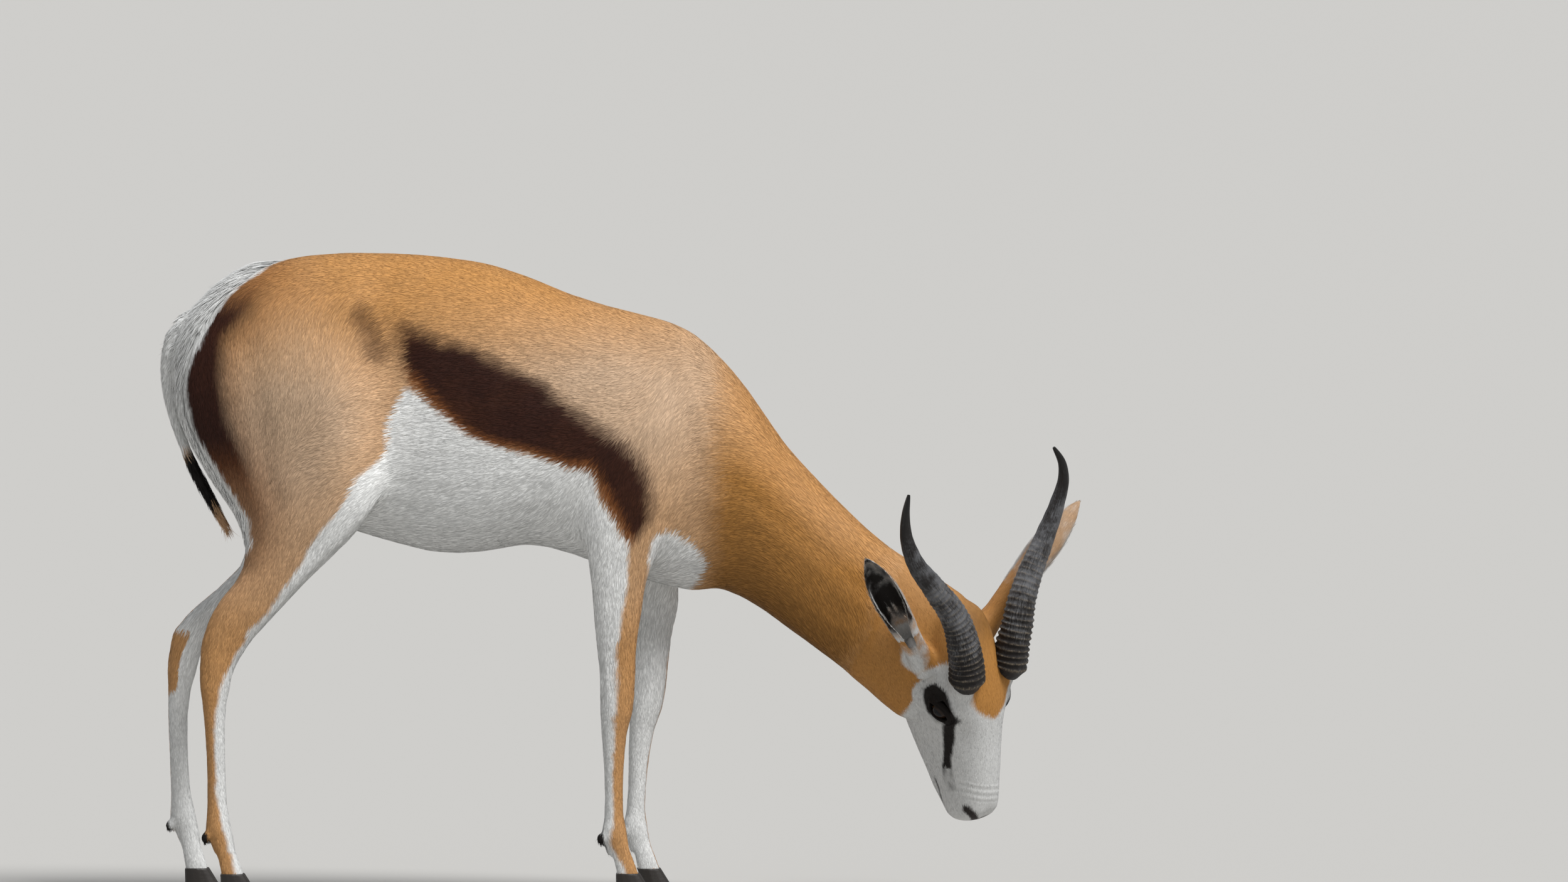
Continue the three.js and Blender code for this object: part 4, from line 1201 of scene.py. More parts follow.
class Body:
    """The skin's points as the markings read them."""

    def __init__(self, mesh: Mesh) -> None:
        """Measures the legs, and draws the left legs forward or back to where the right ones stand."""
        self.points, self.normals = vertices_of(mesh), normals_of(mesh)
        self.region = regions_of(mesh)
        self.web = Web(edges_of(mesh), len(self.points))
        self.x, self.z = self.points[:, 0], self.points[:, 2]
        self.from_middle = np.abs(self.points[:, 1] - MIDDLE_Y) / MM
        self.outward = np.where(self.points[:, 1] < MIDDLE_Y, -1.0, 1.0) * self.normals[:, 1]
        self.legs = {name: LegLine(parts, 1.0 if name.endswith("left") else -1.0).measure(self.points, self.region)
                     for name, parts in LEGS.items()}
        shift = np.zeros(len(self.points))
        for end in ("fore", "hind"):
            left, right = self.legs[f"{end}_left"], self.legs[f"{end}_right"]
            step = np.interp(self.z, right.heights, right.front) - np.interp(self.z, left.heights, left.front)
            shift += step * self.share(*LEGS[f"{end}_left"], spread=20)
        self.side = np.stack([self.x + shift, self.z], 1)

    def share(self, *parts: Region, spread: int = 8) -> Array:
        """How much each point belongs to some regions."""
        return self.web.blurred(among(self.region, *parts), spread)

    def near(self, place: tuple[float, float], wide: float, tall: float) -> Array:
        """One at a place on the side, falling smoothly around it."""
        return bell(self.side[:, 0], place[0], wide) * bell(self.side[:, 1], place[1], tall)


@dataclass
class Markings:
    """The coat's colours by place: each is a depth inside its patch in millimetres, or a share from zero to one."""

    rump: Patch = Patch((
        (-405, 812), (-417, 803), (-453, 781), (-473, 764), (-496, 748), (-518, 729), (-526, 712), (-530, 688),
        (-531, 664), (-530, 640), (-526, 616), (-520, 592), (-502, 557), (-484, 528), (-467, 502), (-453, 482),
        (-453, 464), (-470, 440), (-700, 440), (-700, 860), (-420, 860)))
    belly: Patch = Patch((
        (-253, 641), (-239, 634), (-201, 600), (-163, 574), (-107, 559), (-50, 542), (-29, 538), (-18, 508),
        (-1, 481), (15, 453), (40, 455), (65, 466), (95, 452), (116, 424), (108, 400), (92, 378), (80, 300),
        (-200, 200), (-430, 300), (-459, 333), (-434, 360), (-413, 389), (-389, 423), (-367, 461), (-336, 495),
        (-314, 529), (-280, 563), (-276, 596), (-264, 622)))
    band: Patch = Patch((
        (-262, 716), (-232, 708), (-201, 698), (-145, 675), (-88, 645), (-43, 612), (-8, 588), (26, 566),
        (44, 530), (46, 492), (30, 462), (15, 453), (-1, 481), (-18, 508), (-29, 538), (-50, 542), (-107, 559),
        (-163, 574), (-201, 600), (-232, 626), (-252, 656)))
    band_foot: Outline = ((-257, 660), (-201, 600), (-163, 574), (-107, 559), (-50, 542), (-29, 538), (15, 453))
    croup_wedge: Stops = ((-0.53, 60.0), (-0.48, 44.0), (-0.44, 30.0), (-0.395, -6.0))
    arm_heights: tuple[float, ...] = (0.295, 0.346, 0.398, 0.455)
    arm_edges: tuple[tuple[float, ...], ...] = ((-0.003, 0.0048, 0.0141, 0.018), (0.035, 0.036, 0.0374, 0.0435))
    hind_strip: Stops = ((0.0, 10), (0.10, 10), (0.26, 13), (0.31, 12), (0.335, 13), (0.365, 20), (0.39, 28))
    claws: tuple[float, float] = (0.055, 0.108)
    stripe_width: float = 36.0
    stripe_share: Stops = ((0.44, 0.35), (0.50, 0.55), (0.56, 0.85), (0.62, 1.0), (0.70, 1.0), (0.75, 0.68),
                           (0.80, 0.25))
    # The dark mark before the hip: darker hair with painted shade of the flank hollow.
    hollow_shade_mark: Outline = ((-312, 732), (-300, 712), (-290, 686))
    nape: Outline = ((61, 724), (140, 655), (192, 593), (303, 472), (351, 433))
    tail_tuft: float = 0.65
    tail_gold: float = 0.87
    face_border: Outline = ((-49, -13), (-25, -36), (-4, -46), (13, -66), (22, -84), (24, -130))
    forehead: Patch = Patch(((-70, 0), (-60, 26), (-30, 30), (-8, 31), (11, 25), (24, 10), (29, 0), (24, -10),
                             (11, -25), (-8, -31), (-30, -30), (-60, -26)))
    eye_patch: Patch = Patch(((-24, -26), (-28, -12), (-22, 4), (-9, 15), (9, 19), (23, 17), (27, 6), (19, -8),
                              (9, -26), (-7, -32)))
    eye_stripe: Track = ((18, 56, 8), (26, 49, 4), (33, 43, -3), (46, 40, -9), (62, 39, -16), (76, 38, -22),
                         (90, 37, -25), (104, 35, -25), (122, 33, -27))
    eye_stripe_width: Stops = ((10, 10.0), (20, 11.0), (32, 9.0), (62, 6.5), (78, 7.0), (100, 9.0), (122, 6.0))
    eye_stripe_fade: Stops = ((74, 30.0), (84, 0.4), (112, -0.8), (126, -5.0))
    ear_root: Track = ((-98, 72, -16), (-74, 66, -18), (-60, 67, -21))
    nostril: Track = ((160, 7.5, -22), (158, 11, -15), (153, 17, -9), (146, 23, -7), (139, 27, -11))
    mouth: Outline = ((100, -54), (112, -51), (130, -52), (145, -50), (158, -47))

    def store(self, mesh: Mesh) -> None:
        """Works the markings, and the painted light and shade, out at every point of the skin and stores them on it.

        Args:
            mesh: The skin's mesh, with its regions.
        """
        body = Body(mesh)
        on = body.share(Region.HEAD, *EARS, spread=3)
        on_head, on_tail = on > 0.5, among(body.region, Region.TAIL)
        head = self._head(body)
        along = share_along(body.points, rounded(TAIL_LINE, False, 5))
        white = np.where(on_head, head["white"], self._white(body))
        black = np.maximum(head["black"], self._claws(body))
        black = np.where(on_tail, np.minimum(along - self.tail_tuft, self.tail_gold - along) * 200, black)
        dark = self._dark(body)
        dark["dark"] = np.where(on_head, -30.0, dark["dark"])
        stored = {**dark, **self._shades(body, head, on), "black": black,
                  "white": np.where(on_tail, (self.tail_tuft - along) * 200, white),
                  "bare": np.where(on_head, head["bare"], 0.0), "fold": np.where(on_head, head["fold"], 0.0)}
        for name, values in stored.items():
            put_values(mesh, name, values)

    def _white(self, body: Body) -> Array:
        """Depth inside the white of rump, belly, inner sides and legs."""
        side, z = body.side, body.z
        white = np.maximum(self.rump.inside(side), self.belly.inside(side))
        wedge = ramp(side[:, 0], self.croup_wedge)
        white = np.maximum(white, np.where(z > 0.55, wedge - body.from_middle, -30.0))
        under = ease(0.55, 0.9, -body.normals[:, 2]) * ease(0.62, 0.52, z) * ease(0.12, 0.0, body.x)
        inner = ease(0.05, -0.35, body.outward) * ease(0.60, 0.50, z)
        trunk = body.share(Region.TORSO, *UPPER_LEGS) * ease(0.10, 0.05, body.x)
        white = np.maximum(white, (np.maximum(under, inner) * trunk - 0.5) * 30)

        arm = (z > 0.33) & (z < 0.475)
        hind_edge, fore_edge = (np.interp(z, self.arm_heights, edge) for edge in self.arm_edges)
        upper = np.minimum(side[:, 0] - hind_edge, fore_edge - side[:, 0]) / MM
        upper = np.minimum(upper, (body.outward + 0.10) * 20)
        knee, shoulder = ease(0.30, 0.34, z), ease(0.455, 0.435, z)
        for name in ("fore_right", "fore_left"):
            own = body.share(*LEGS[name], spread=2) > 0.5
            ahead, out, _ = body.legs[name].look(body.points)
            tan = np.minimum(ahead + 0.08, out + 0.25) * 14 * (1 - knee) + upper * knee
            white[arm] = np.minimum(white[arm], -upper[arm])
            white[own] = -tan[own] * shoulder[own] + white[own] * (1 - shoulder[own])
        strip = ramp(z, self.hind_strip)
        shank = ease(0.345, 0.325, z)
        for name in ("hind_right", "hind_left"):
            own = body.share(*LEGS[name], spread=2) > 0.5
            ahead, out, behind = body.legs[name].look(body.points)
            hock = ease(-0.05, -0.45, ahead) * ease(0.25, 0.28, z) * ease(0.40, 0.36, z)
            edge = np.maximum(strip - behind / MM, -(out + 0.15) * 14 - 30 * hock)
            white[own] = edge[own] * shank[own] + white[own] * (1 - shank[own])
        return white

    def _claws(self, body: Body) -> Array:
        """Depth inside the black false hooves behind the pasterns."""
        claw = np.full(len(body.points), -30.0)
        low, high = self.claws
        for name, leg in body.legs.items():
            heel = np.interp(body.z, self.claws, np.interp(self.claws, leg.heights, leg.back))
            own = among(body.region, *LEGS[name]) & (body.z > low) & (body.z < high)
            claw[own] = (heel - body.x)[own] / MM - 2.5
        return claw

    def _dark(self, body: Body) -> dict[str, Array]:
        """Depth, strength and redness of the flank band, the rump's dark edge and the dark mark before the hip, which
        is darker hair with the flank hollow's shade painted into it.
        """
        z = body.z
        rump = self.rump.inside(body.side)
        share = ramp(z, self.stripe_share)
        core = self.stripe_width * share
        fade = np.exp(-np.maximum(-rump - core, 0) / 22.0) * np.clip(share * 1.25, 0, 1)
        band = self.band.inside(body.side)
        foot = line_distance(body.side, rounded(self.band_foot, False)) / MM
        striped, off_band = (rump < 8) & (rump > -95), band < -8
        dark = np.maximum(band * (1 - 0.5 * ease(22.0, 40.0, foot)), np.where(striped, 30.0, -30))
        edge_red = 0.7 * ease(0.60, 0.50, z) + ease(0.73, 0.79, z) + 0.6 * ease(-core - 6, -core - 26, rump)
        red = np.where(striped & off_band, edge_red, 0.85 * ease(16.0, 2.0, foot))
        # Darker hair before the hip, with the flank hollow's shade painted into it.
        hollow_shade_mark = 13 - away(body.side, self.hollow_shade_mark)
        dark_share = np.where(off_band, fade, 1.0)
        dark_share = np.where(off_band & (hollow_shade_mark > -10), np.maximum(dark_share, 0.55), dark_share)
        trunk = body.share(Region.TORSO, Region.NECK, *UPPER_LEGS)
        return {"dark": np.where(trunk > 0.5, np.maximum(dark, hollow_shade_mark * 0.8), -30.0), "dark_share": dark_share,
                "red": red}

    def _shades(self, body: Body, head: dict[str, Array], on: Array) -> dict[str, Array]:
        """How rufous the coat is, and a brightness that paints light and shade on it.

        Args:
            body: The skin's points.
            head: The head's markings.
            on: How much each point belongs to the head.

        Returns:
            How rufous each point is, and the brightness that carries painted light and shade there.
        """
        back = ease(0.60, 0.78, body.z) * ease(0.15, 0.02, body.x)
        neck = body.share(Region.NECK, spread=30)
        haunch = body.near((-0.40, 0.60), 0.10, 0.13)
        painted_haunch_highlight = body.near((-0.30, 0.59), 0.045, 0.09)
        flank = body.near((-0.06, 0.66), 0.16, 0.05)
        shoulder = body.near((0.03, 0.60), 0.10, 0.09)
        throat = neck * ease(25.0, 95.0, away(body.side, self.nape))
        legs = ease(0.42, 0.30, body.z) * ease(0.25, 0.15, body.x)
        under = ease(0.2, 0.9, -body.normals[:, 2])
        at = HEAD.of(body.points)
        crown = ease(-0.15, -0.06, at[:, 0]) * on
        warm = np.clip(0.40 + 0.48 * back + 0.40 * neck - 0.50 * haunch - 0.35 * flank - 0.38 * shoulder, 0, 1)
        warm = np.where(on > 0.5, np.where(head["ear"], head["warm"], 0.80 + 0.20 * crown), warm)
        # Painted light and shade: a painted highlight on the front of the haunch and a faint one on the shoulder.
        # Painted shade over the middle of the haunch, under the throat, on the lower legs and on every underside.
        tone = (0.98 + 0.30 * painted_haunch_highlight - 0.12 * haunch - 0.42 * throat - 0.12 * legs - 0.12 * under
                + 0.04 * shoulder)
        # Painted shade over the face: its brightness is set to 0.93.
        tone = tone * (1 - crown) + 0.93 * crown
        # Darker between the horns: darker hair there, with the far horn's shadow painted over it.
        horn_shadow_and_dark_hair = bell(at[:, 0], -0.095, 0.026) * bell(at[:, 1], 0.0, 0.030) * on
        return {"warm": np.clip(warm + 0.3 * throat + 0.3 * legs, 0, 1), "tone": tone * (1 - 0.45 * horn_shadow_and_dark_hair)}

    def _head(self, body: Body) -> dict[str, Array]:
        """The head's markings, from places along the head."""
        ears = body.share(*EARS, spread=2)
        at = HEAD.of(body.points)
        nose, out, front = at[:, 0], np.abs(at[:, 1]), at[:, 2]
        flat = at[:, (0, 2)]
        mirrored = np.stack([nose, out, front], 1)
        border = rounded(self.face_border, False)
        white = np.minimum((nose - np.interp(-front, -border[:, 1], border[:, 0])) / MM, 40.0)
        crown = ease(0.006, 0.026, front)
        white = np.minimum(white, 40 * (1 - crown) + np.clip(nose / MM + 34, -30, 12) * crown)
        white = np.minimum(white, np.where(front > 0.012, -self.forehead.inside(at[:, :2]), 40.0))
        black = np.where(out > 0.03, self.eye_patch.inside(flat), -30.0)
        stripe = ramp(nose / MM, self.eye_stripe_width) - away(mirrored, self.eye_stripe)
        stripe = np.minimum(stripe, ramp(nose / MM, self.eye_stripe_fade))
        black = np.maximum(black, np.where(out > 0.015, stripe, -30.0))
        warm = np.zeros(len(at))
        on_ear = np.zeros(len(at), bool)
        for ear in (EAR_RIGHT, EAR_LEFT):
            share, outward, across, near = ear.look(body.points, body.normals)
            here = (ears > 0.4) & (near < 45)
            on_ear |= here
            # Black deep inside the ear's cup: painted shade of its hollow, broken by pale rows of hair along the
            # ridges.
            cup = np.minimum((outward - 0.32) * 22, (share - 0.28) * 26)
            cup = np.minimum(cup, 1.2 + np.maximum(0.62 - share, 0) * 60)
            ridge = 1.5 - np.abs(np.abs(across + 2.5 + 10 * (share - 0.4)) - 3.4) - 12 * np.abs(share - 0.42)
            black = np.where(here, np.minimum(cup, np.where(ridge > -1, 1.0 - ridge * 1.6, 30)), black)
            rim = np.maximum(5 - np.abs(outward) * 14, 20 - share * 70 - 30 * ease(-0.05, -0.35, outward))
            white = np.where(here, np.maximum(rim, 2.0 - 4.0 * ease(-0.1, -0.7, outward)), white)
            warm = np.where(here, 0.20 + 0.65 * ease(0.62, 0.12, share), warm)
            base = 17.0 - away(mirrored, self.ear_root)
            white = np.where((ears <= 0.4) & (out > 0.03), np.maximum(white, base), white)
        hole = 4.2 - away(mirrored, self.nostril)
        slit = 1.6 - away(flat, self.mouth)
        black = np.maximum(black, np.where(nose > 0.09, np.maximum(hole, slit), -30))
        # The share of 0.16 greys the whole head's white: greyish hair, with painted shade.
        bare = 0.16 + ease(-2.6, 0.5, hole) + ease(0.150, 0.156, nose) * ease(9.0, 5.0, out / MM)
        fold = np.where(front > -0.012, nose - 0.24 * at[:, 1] - 0.3 * front, 0.0) / MM
        return {"ear": on_ear, "white": white, "black": black, "warm": warm, "bare": np.clip(bare, 0, 1),
                "fold": fold}


# The coat.


class Growth(Nodes):
    """A Geometry Nodes tree under construction."""

    def __init__(self, name: str) -> None:
        """Starts a tree with one geometry in and one out."""
        self.tree = bpy.data.node_groups.new(name, "GeometryNodeTree")
        self.tree.interface.new_socket("Geometry", in_out="INPUT", socket_type="NodeSocketGeometry")
        self.tree.interface.new_socket("Geometry", in_out="OUTPUT", socket_type="NodeSocketGeometry")
        self.inputs: dict[str, str] = {}
        self.entry = self.tree.nodes.new("NodeGroupInput")

    def named(self, name: str, kind: str) -> Value:
        """Adds a named input and returns its value inside the tree."""
        made = self.tree.interface.new_socket(name, in_out="INPUT", socket_type=f"NodeSocket{kind}")
        self.inputs[name] = made.identifier
        return Value(self, self.entry.outputs[name])

    def stored(self, name: str | Value, kind: str = "FLOAT") -> Value:
        """Values stored on the geometry."""
        made = self.node("GeometryNodeInputNamedAttribute", {"data_type": kind}, {"Name": name})
        return Value(self, made.outputs["Attribute"])

    def store(self, geometry: object, name: str, kind: str, value: object, domain: str = "POINT") -> bpy.types.Node:
        """Stores values on the geometry."""
        return self.node("GeometryNodeStoreNamedAttribute", {"data_type": kind, "domain": domain},
                         {"Geometry": geometry, "Name": name, "Value": value})

    def random(self, low: float, high: float, seed: Value) -> Value:
        """A random number for each point."""
        made = self.node("FunctionNodeRandomValue", {"data_type": "FLOAT"}, {2: low, 3: high, "Seed": seed})
        return Value(self, made.outputs[1])

    def vector(self, operation: str, *values: object) -> bpy.types.Node:
        """A sum on vectors."""
        return self.node("ShaderNodeVectorMath", {"operation": operation}, dict(enumerate(values)))

    def scaled(self, vector: object, by: Value) -> bpy.types.Node:
        """A vector made longer or shorter."""
        return self.node("ShaderNodeVectorMath", {"operation": "SCALE"}, {0: vector, 3: by})

    def dot(self, first: object, second: object) -> Value:
        """How far one vector reaches along another."""
        made = self.node("ShaderNodeVectorMath", {"operation": "DOT_PRODUCT"}, {0: first, 1: second})
        return Value(self, made.outputs[1])

    def facing(self, at: object) -> bpy.types.Node:
        """The skin's normal at the point of it that lies nearest to a place."""
        return self.node("GeometryNodeSampleNearestSurface", {"data_type": "FLOAT_VECTOR"}, {
            "Mesh": self.entry.outputs["Geometry"], "Value": self.node("GeometryNodeInputNormal"),
            "Sample Position": at})

    def close(self, geometry: object, material: Value) -> None:
        """Ends the tree with the material set."""
        made = self.node("GeometryNodeSetMaterial", {}, {"Geometry": geometry, "Material": material})
        self.node("NodeGroupOutput", {}, {0: made})


@dataclass(frozen=True)
class TuftShape:
    """A flat tapered tuft, one long and one wide, that rises and bends over towards its tip."""

    rings: tuple[tuple[float, float, float], ...] = ((0.40, 1.0, 0.016),)
    tip: tuple[float, float] = (1.0, 0.034)
    thickness: float = 0.006
    lean: float = 0.0

    def build(self, name: str) -> Object:
        """The tuft's object, kept out of the scene, with its places along and across stored.

        Args:
            name: The object's name.

        Returns:
            The object, which the coat repeats.
        """
        points, along, across = [(0.0, 0.0, -0.008)], [0.0], [0.5]
        for y, wide, z in self.rings:
            shift = self.lean * y * y
            points += [(-wide / 2 + shift, y, z), (wide / 2 + shift, y, z),
                       (shift + wide * 0.08, y, z + self.thickness * (0.6 + wide * 0.4))]
            along += [y] * 3
            across += [0.0, 1.0, 0.5]
        points.append((self.lean, self.tip[0], self.tip[1]))
        along.append(1.0)
        across.append(0.5)
        faces = [(0, 1 + k, 1 + (k + 1) % 3) for k in range(3)]
        for ring in range(len(self.rings) - 1):
            for k in range(3):
                a, b = 1 + ring * 3 + k, 1 + ring * 3 + (k + 1) % 3
                faces += [(a, a + 3, b), (b, a + 3, b + 3)]
        end = 1 + (len(self.rings) - 1) * 3
        faces += [(end + k, len(points) - 1, end + (k + 1) % 3) for k in range(3)]
        mesh = mesh_from(name, np.array(points, float), [np.array(faces)])
        put_values(mesh, "along", np.array(along))
        put_values(mesh, "across", np.array(across))
        return bpy.data.objects.new(name, mesh)


@dataclass(frozen=True)
class Zone:
    """A stretch of the coat that is made as one piece."""

    name: str
    tufts: int
    width: float
    spread: float = 9.0
    fringe: Fringe = Fringe.NONE


@dataclass
class Coat:
    """Short flat hair all over the body and longer fringes through it, in tufts that follow its lie."""

    zones: tuple[Zone, ...] = (
        Zone("coat_back", 22000, 1.3),
        Zone("coat_side_right", 28000, 1.3),
        Zone("coat_side_left", 23000, 1.4),
        Zone("coat_belly", 16000, 1.4),
        Zone("coat_rump", 17500, 1.2),
        Zone("coat_neck", 28000, 1.1),
        Zone("coat_thighs", 17000, 1.2),
        Zone("coat_forelegs", 12000, 1.0),
        Zone("coat_hindlegs", 12000, 1.0),
        Zone("coat_head", 24000, 0.8),
        Zone("coat_ears", 7000, 0.8),
        Zone("coat_tail", 4500, 1.1),
        Zone("fringe_croup", 5000, 1.35, spread=7.0, fringe=Fringe.CROUP),
        Zone("fringe_rump", 5200, 1.45, spread=6.0, fringe=Fringe.RUMP),
        Zone("fringe_tail", 1100, 1.0, spread=5.0, fringe=Fringe.TAIL),
        Zone("fringe_ears", 1300, 0.6, spread=14.0, fringe=Fringe.EARS),
    )
    patch: float = 0.003
    softness: float = 0.86

    def _zone_of(self, points: Array, normals: Array, region: Array) -> Array:
        """Number of the zone that each face belongs to, or -1 for none."""
        names = [zone.name for zone in self.zones]
        fore, hind = ("coat_thighs", "coat_forelegs") * 2, ("coat_thighs", "coat_hindlegs") * 2
        homes = ("coat_side_left", "coat_neck", "coat_head", "coat_ears", "coat_ears", "coat_tail", *fore, *hind)
        zone = np.array([*map(names.index, homes), -1])[region]
        trunk = among(region, Region.TORSO)
        for name, chosen in (("coat_side_right", points[:, 1] < MIDDLE_Y), ("coat_back", normals[:, 2] > 0.62),
                             ("coat_belly", normals[:, 2] < -0.35), ("coat_rump", points[:, 0] < -0.40)):
            zone[trunk & chosen] = names.index(name)
        at = HEAD.of(points)
        zone[among(region, Region.HEAD) & (at[:, 0] > 0.150) & (at[:, 2] > -0.048)] = -1
        for eye in EYE_FRAMES:
            seen = eye.of(points)
            close = (seen[:, 2] > 0) & (seen[:, 2] < 40) & (np.abs(seen[:, :2]).max(1) < 30)
            chosen = np.flatnonzero(close)
            zone[chosen[eye.outside(seen[chosen, :2]) < 3.4]] = -1
        return zone

    def _kinds(self, name: str, shapes: list[TuftShape]) -> bpy.types.Collection:
        """A collection of tufts to choose from."""
        kinds = bpy.data.collections.new(name)
        for number, shape in enumerate(shapes):
            kinds.objects.link(shape.build(f"{name}_{number}"))
        return kinds

    def _tree(self) -> Growth:
        """The tree that grows tufts from the faces of one zone."""
        growth = Growth("coat_growth")
        layer, hair, lift = (growth.named(name, "String") for name in ("Layer", "Hair", "Lift"))
        number, seed = growth.named("Zone", "Int"), growth.named("Seed", "Int")
        density, width, spread, bend = (growth.named(name, "Float")
                                        for name in ("Density", "Width", "Spread", "Bend"))
        tufts, material = growth.named("Tufts", "Collection"), growth.named("Material", "Material")
        ours = growth.node("FunctionNodeCompare", {"data_type": "INT", "operation": "EQUAL"},
                           {2: growth.stored(layer, "INT"), 3: number})
        own = growth.node("GeometryNodeSeparateGeometry", {"domain": "FACE"},
                          {"Geometry": growth.entry.outputs["Geometry"], "Selection": ours})
        points = growth.node("GeometryNodeDistributePointsOnFaces", {"distribute_method": "RANDOM"},
                             {"Mesh": own, "Density": density, "Seed": seed})
        place = growth.node("GeometryNodeInputPosition")
        cloud = growth.store(points.outputs["Points"], "root", "FLOAT_VECTOR", place)
        cloud = growth.store(cloud, "ground", "FLOAT_VECTOR", growth.facing(place))
        cloud = growth.store(cloud, "tint", "FLOAT", growth.random(0.0, 1.0, seed + 1))
        upright = growth.node("FunctionNodeAlignRotationToVector", {"axis": "Z"},
                              {"Vector": growth.stored("ground", "FLOAT_VECTOR")})
        laid = growth.node("FunctionNodeAlignRotationToVector", {"axis": "Y", "pivot_axis": "Z"},
                           {"Rotation": upright, "Vector": growth.stored("lie", "FLOAT_VECTOR")})
        yaw, pitch = growth.random(-1.0, 1.0, seed + 2), growth.random(-0.4, 1.0, seed + 3)
        turn = growth.triple(pitch * (spread * 0.14) + growth.stored(lift), z=yaw * spread)
        euler = growth.node("FunctionNodeEulerToRotation", {}, {0: turn})
        loose = growth.node("FunctionNodeRotateRotation", {"rotation_space": "LOCAL"},
                            {0: laid, 1: euler})
        grown = growth.stored(hair) * MM * growth.random(0.72, 1.22, seed + 4)
        size = growth.triple(width * growth.random(0.7, 1.25, seed + 5), grown, grown)
        kinds = growth.node("GeometryNodeCollectionInfo", {"transform_space": "ORIGINAL"},
                            {"Collection": tufts, "Separate Children": True, "Reset Children": True})
        placed = growth.node("GeometryNodeInstanceOnPoints", {}, {
            "Points": cloud, "Instance": kinds, "Pick Instance": True,
            "Rotation": loose, "Scale": size})
        laid_down = self._bent(growth, growth.node("GeometryNodeRealizeInstances", {}, {"Geometry": placed}), bend)
        corner = growth.vector("SUBTRACT", growth.triple(growth.stored("across"), growth.stored("along")),
                               (0.5, 0.5, 0.0))
        spot = growth.vector("MULTIPLY_ADD", corner, (self.patch, self.patch, 0.0),
                             growth.stored("plan", "FLOAT_VECTOR"))
        growth.close(growth.store(laid_down, "OFBake", "FLOAT2", spot, "CORNER"), material)
        return growth

    def _bent(self, growth: Growth, tufts: bpy.types.Node, bend: Value) -> bpy.types.Node:
        """The tufts bent over the skin, so that each keeps its height above it all the way to the tip.

        Args:
            growth: The tree.
            tufts: The straight tufts.
            bend: One to bend them, zero to leave them straight.

        Returns:
            The tufts, straight still where the skin turns sharply.
        """
        place = growth.node("GeometryNodeInputPosition")
        ground = growth.stored("ground", "FLOAT_VECTOR")
        height = growth.dot(growth.vector("SUBTRACT", place, growth.stored("root", "FLOAT_VECTOR")), ground)
        level = growth.vector("SUBTRACT", place, growth.scaled(ground, height))
        near = growth.node("GeometryNodeProximity", {"target_element": "FACES"},
                           {0: growth.entry.outputs["Geometry"], "Sample Position": level})
        facing = growth.facing(level)
        close = Value(growth, near.outputs["Distance"]).below(0.006)
        smooth = growth.dot(facing, ground).above(0.62) * bend * close

        def chosen(straight: object, bent: object) -> Socket:
            """The bent value where the skin is smooth, or else the straight one."""
            made = growth.node("ShaderNodeMix", {"data_type": "VECTOR"}, {0: smooth, 4: straight, 5: bent})
            return made.outputs[1]

        lit = growth.node("GeometryNodeCaptureAttribute", {"domain": "POINT"}, {"Geometry": tufts})
        lit.capture_items.new("VECTOR", "facing")
        growth.tree.links.new(chosen(ground, facing), lit.inputs["facing"])
        moved = growth.node("GeometryNodeSetPosition", {}, {
            "Geometry": lit,
            "Position": chosen(place, growth.vector("ADD", near.outputs["Position"], growth.scaled(facing, height)))})
        return growth.store(moved, "ground", "FLOAT_VECTOR", lit.outputs["facing"])

    def build(self, skin: Object, finish: Material) -> list[Object]:
        """Grows every zone of the coat from the skin.

        Args:
            skin: The skin's object, with its markings, lie and plan.
            finish: The tufts' material.

        Returns:
            One object for each zone.
        """
        mesh = skin.data
        triangles = triangles_of(mesh)
        points, normals = vertices_of(mesh), normals_of(mesh)
        region = regions_of(mesh)
        corners = points[triangles]
        area = np.linalg.norm(crossed(corners), axis=1) / 2
        zone = self._zone_of(corners.mean(1), unit(normals[triangles].mean(1)), region[triangles[:, 0]])
        put_values(mesh, "zone", zone.astype(np.int32), "FACE")
        fringe = values_of(mesh, "fringe", np.int32)[triangles].min(1)
        put_values(mesh, "fringe_zone", fringe.astype(np.int32), "FACE")
        short = self._kinds("short", [TuftShape(), TuftShape(lean=0.6),
                                      TuftShape(lean=-0.6), TuftShape(rings=((0.52, 1.05, 0.020),), lean=0.2)])
        bent = ((0.22, 0.8, 0.03), (0.5, 1.0, 0.06), (0.78, 0.7, 0.08))
        long = self._kinds("long", [TuftShape(bent, (1.0, 0.075), 0.006, lean) for lean in (-2.2, -0.8, 0.9, 2.4)])
        growth = self._tree()
        share = 1.0
        pieces = []
        for number, part in enumerate(self.zones):
            ground = shown(part.name, mesh)
            grow = ground.modifiers.new("grow", "NODES")
            grow.node_group = growth.tree
            plain = part.fringe is Fringe.NONE
            key = number if plain else part.fringe.value
            own_area = float(area[(zone if plain else fringe) == key].sum())
            wanted = {"Layer": part.fringe.stored("zone"), "Hair": part.fringe.stored("hair"),
                      "Lift": part.fringe.stored("lift"), "Zone": key,
                      "Density": part.tufts * share / max(own_area, 1e-6), "Seed": 11 * number + 3,
                      "Width": part.width * MM / math.sqrt(share), "Spread": math.radians(part.spread),
                      "Bend": 0.0 if part.fringe in (Fringe.TAIL, Fringe.EARS) else 1.0,
                      "Tufts": short if plain else long, "Material": finish}
            for name, value in wanted.items():
                grow[growth.inputs[name]] = value
            made = applied(ground)
            made.name = part.name
            made.shade_smooth()
            soften(made, self.softness)
            log.info("%s: %.3f square metres", part.name, own_area)
            pieces.append(finished(ground, "coat"))
        return pieces


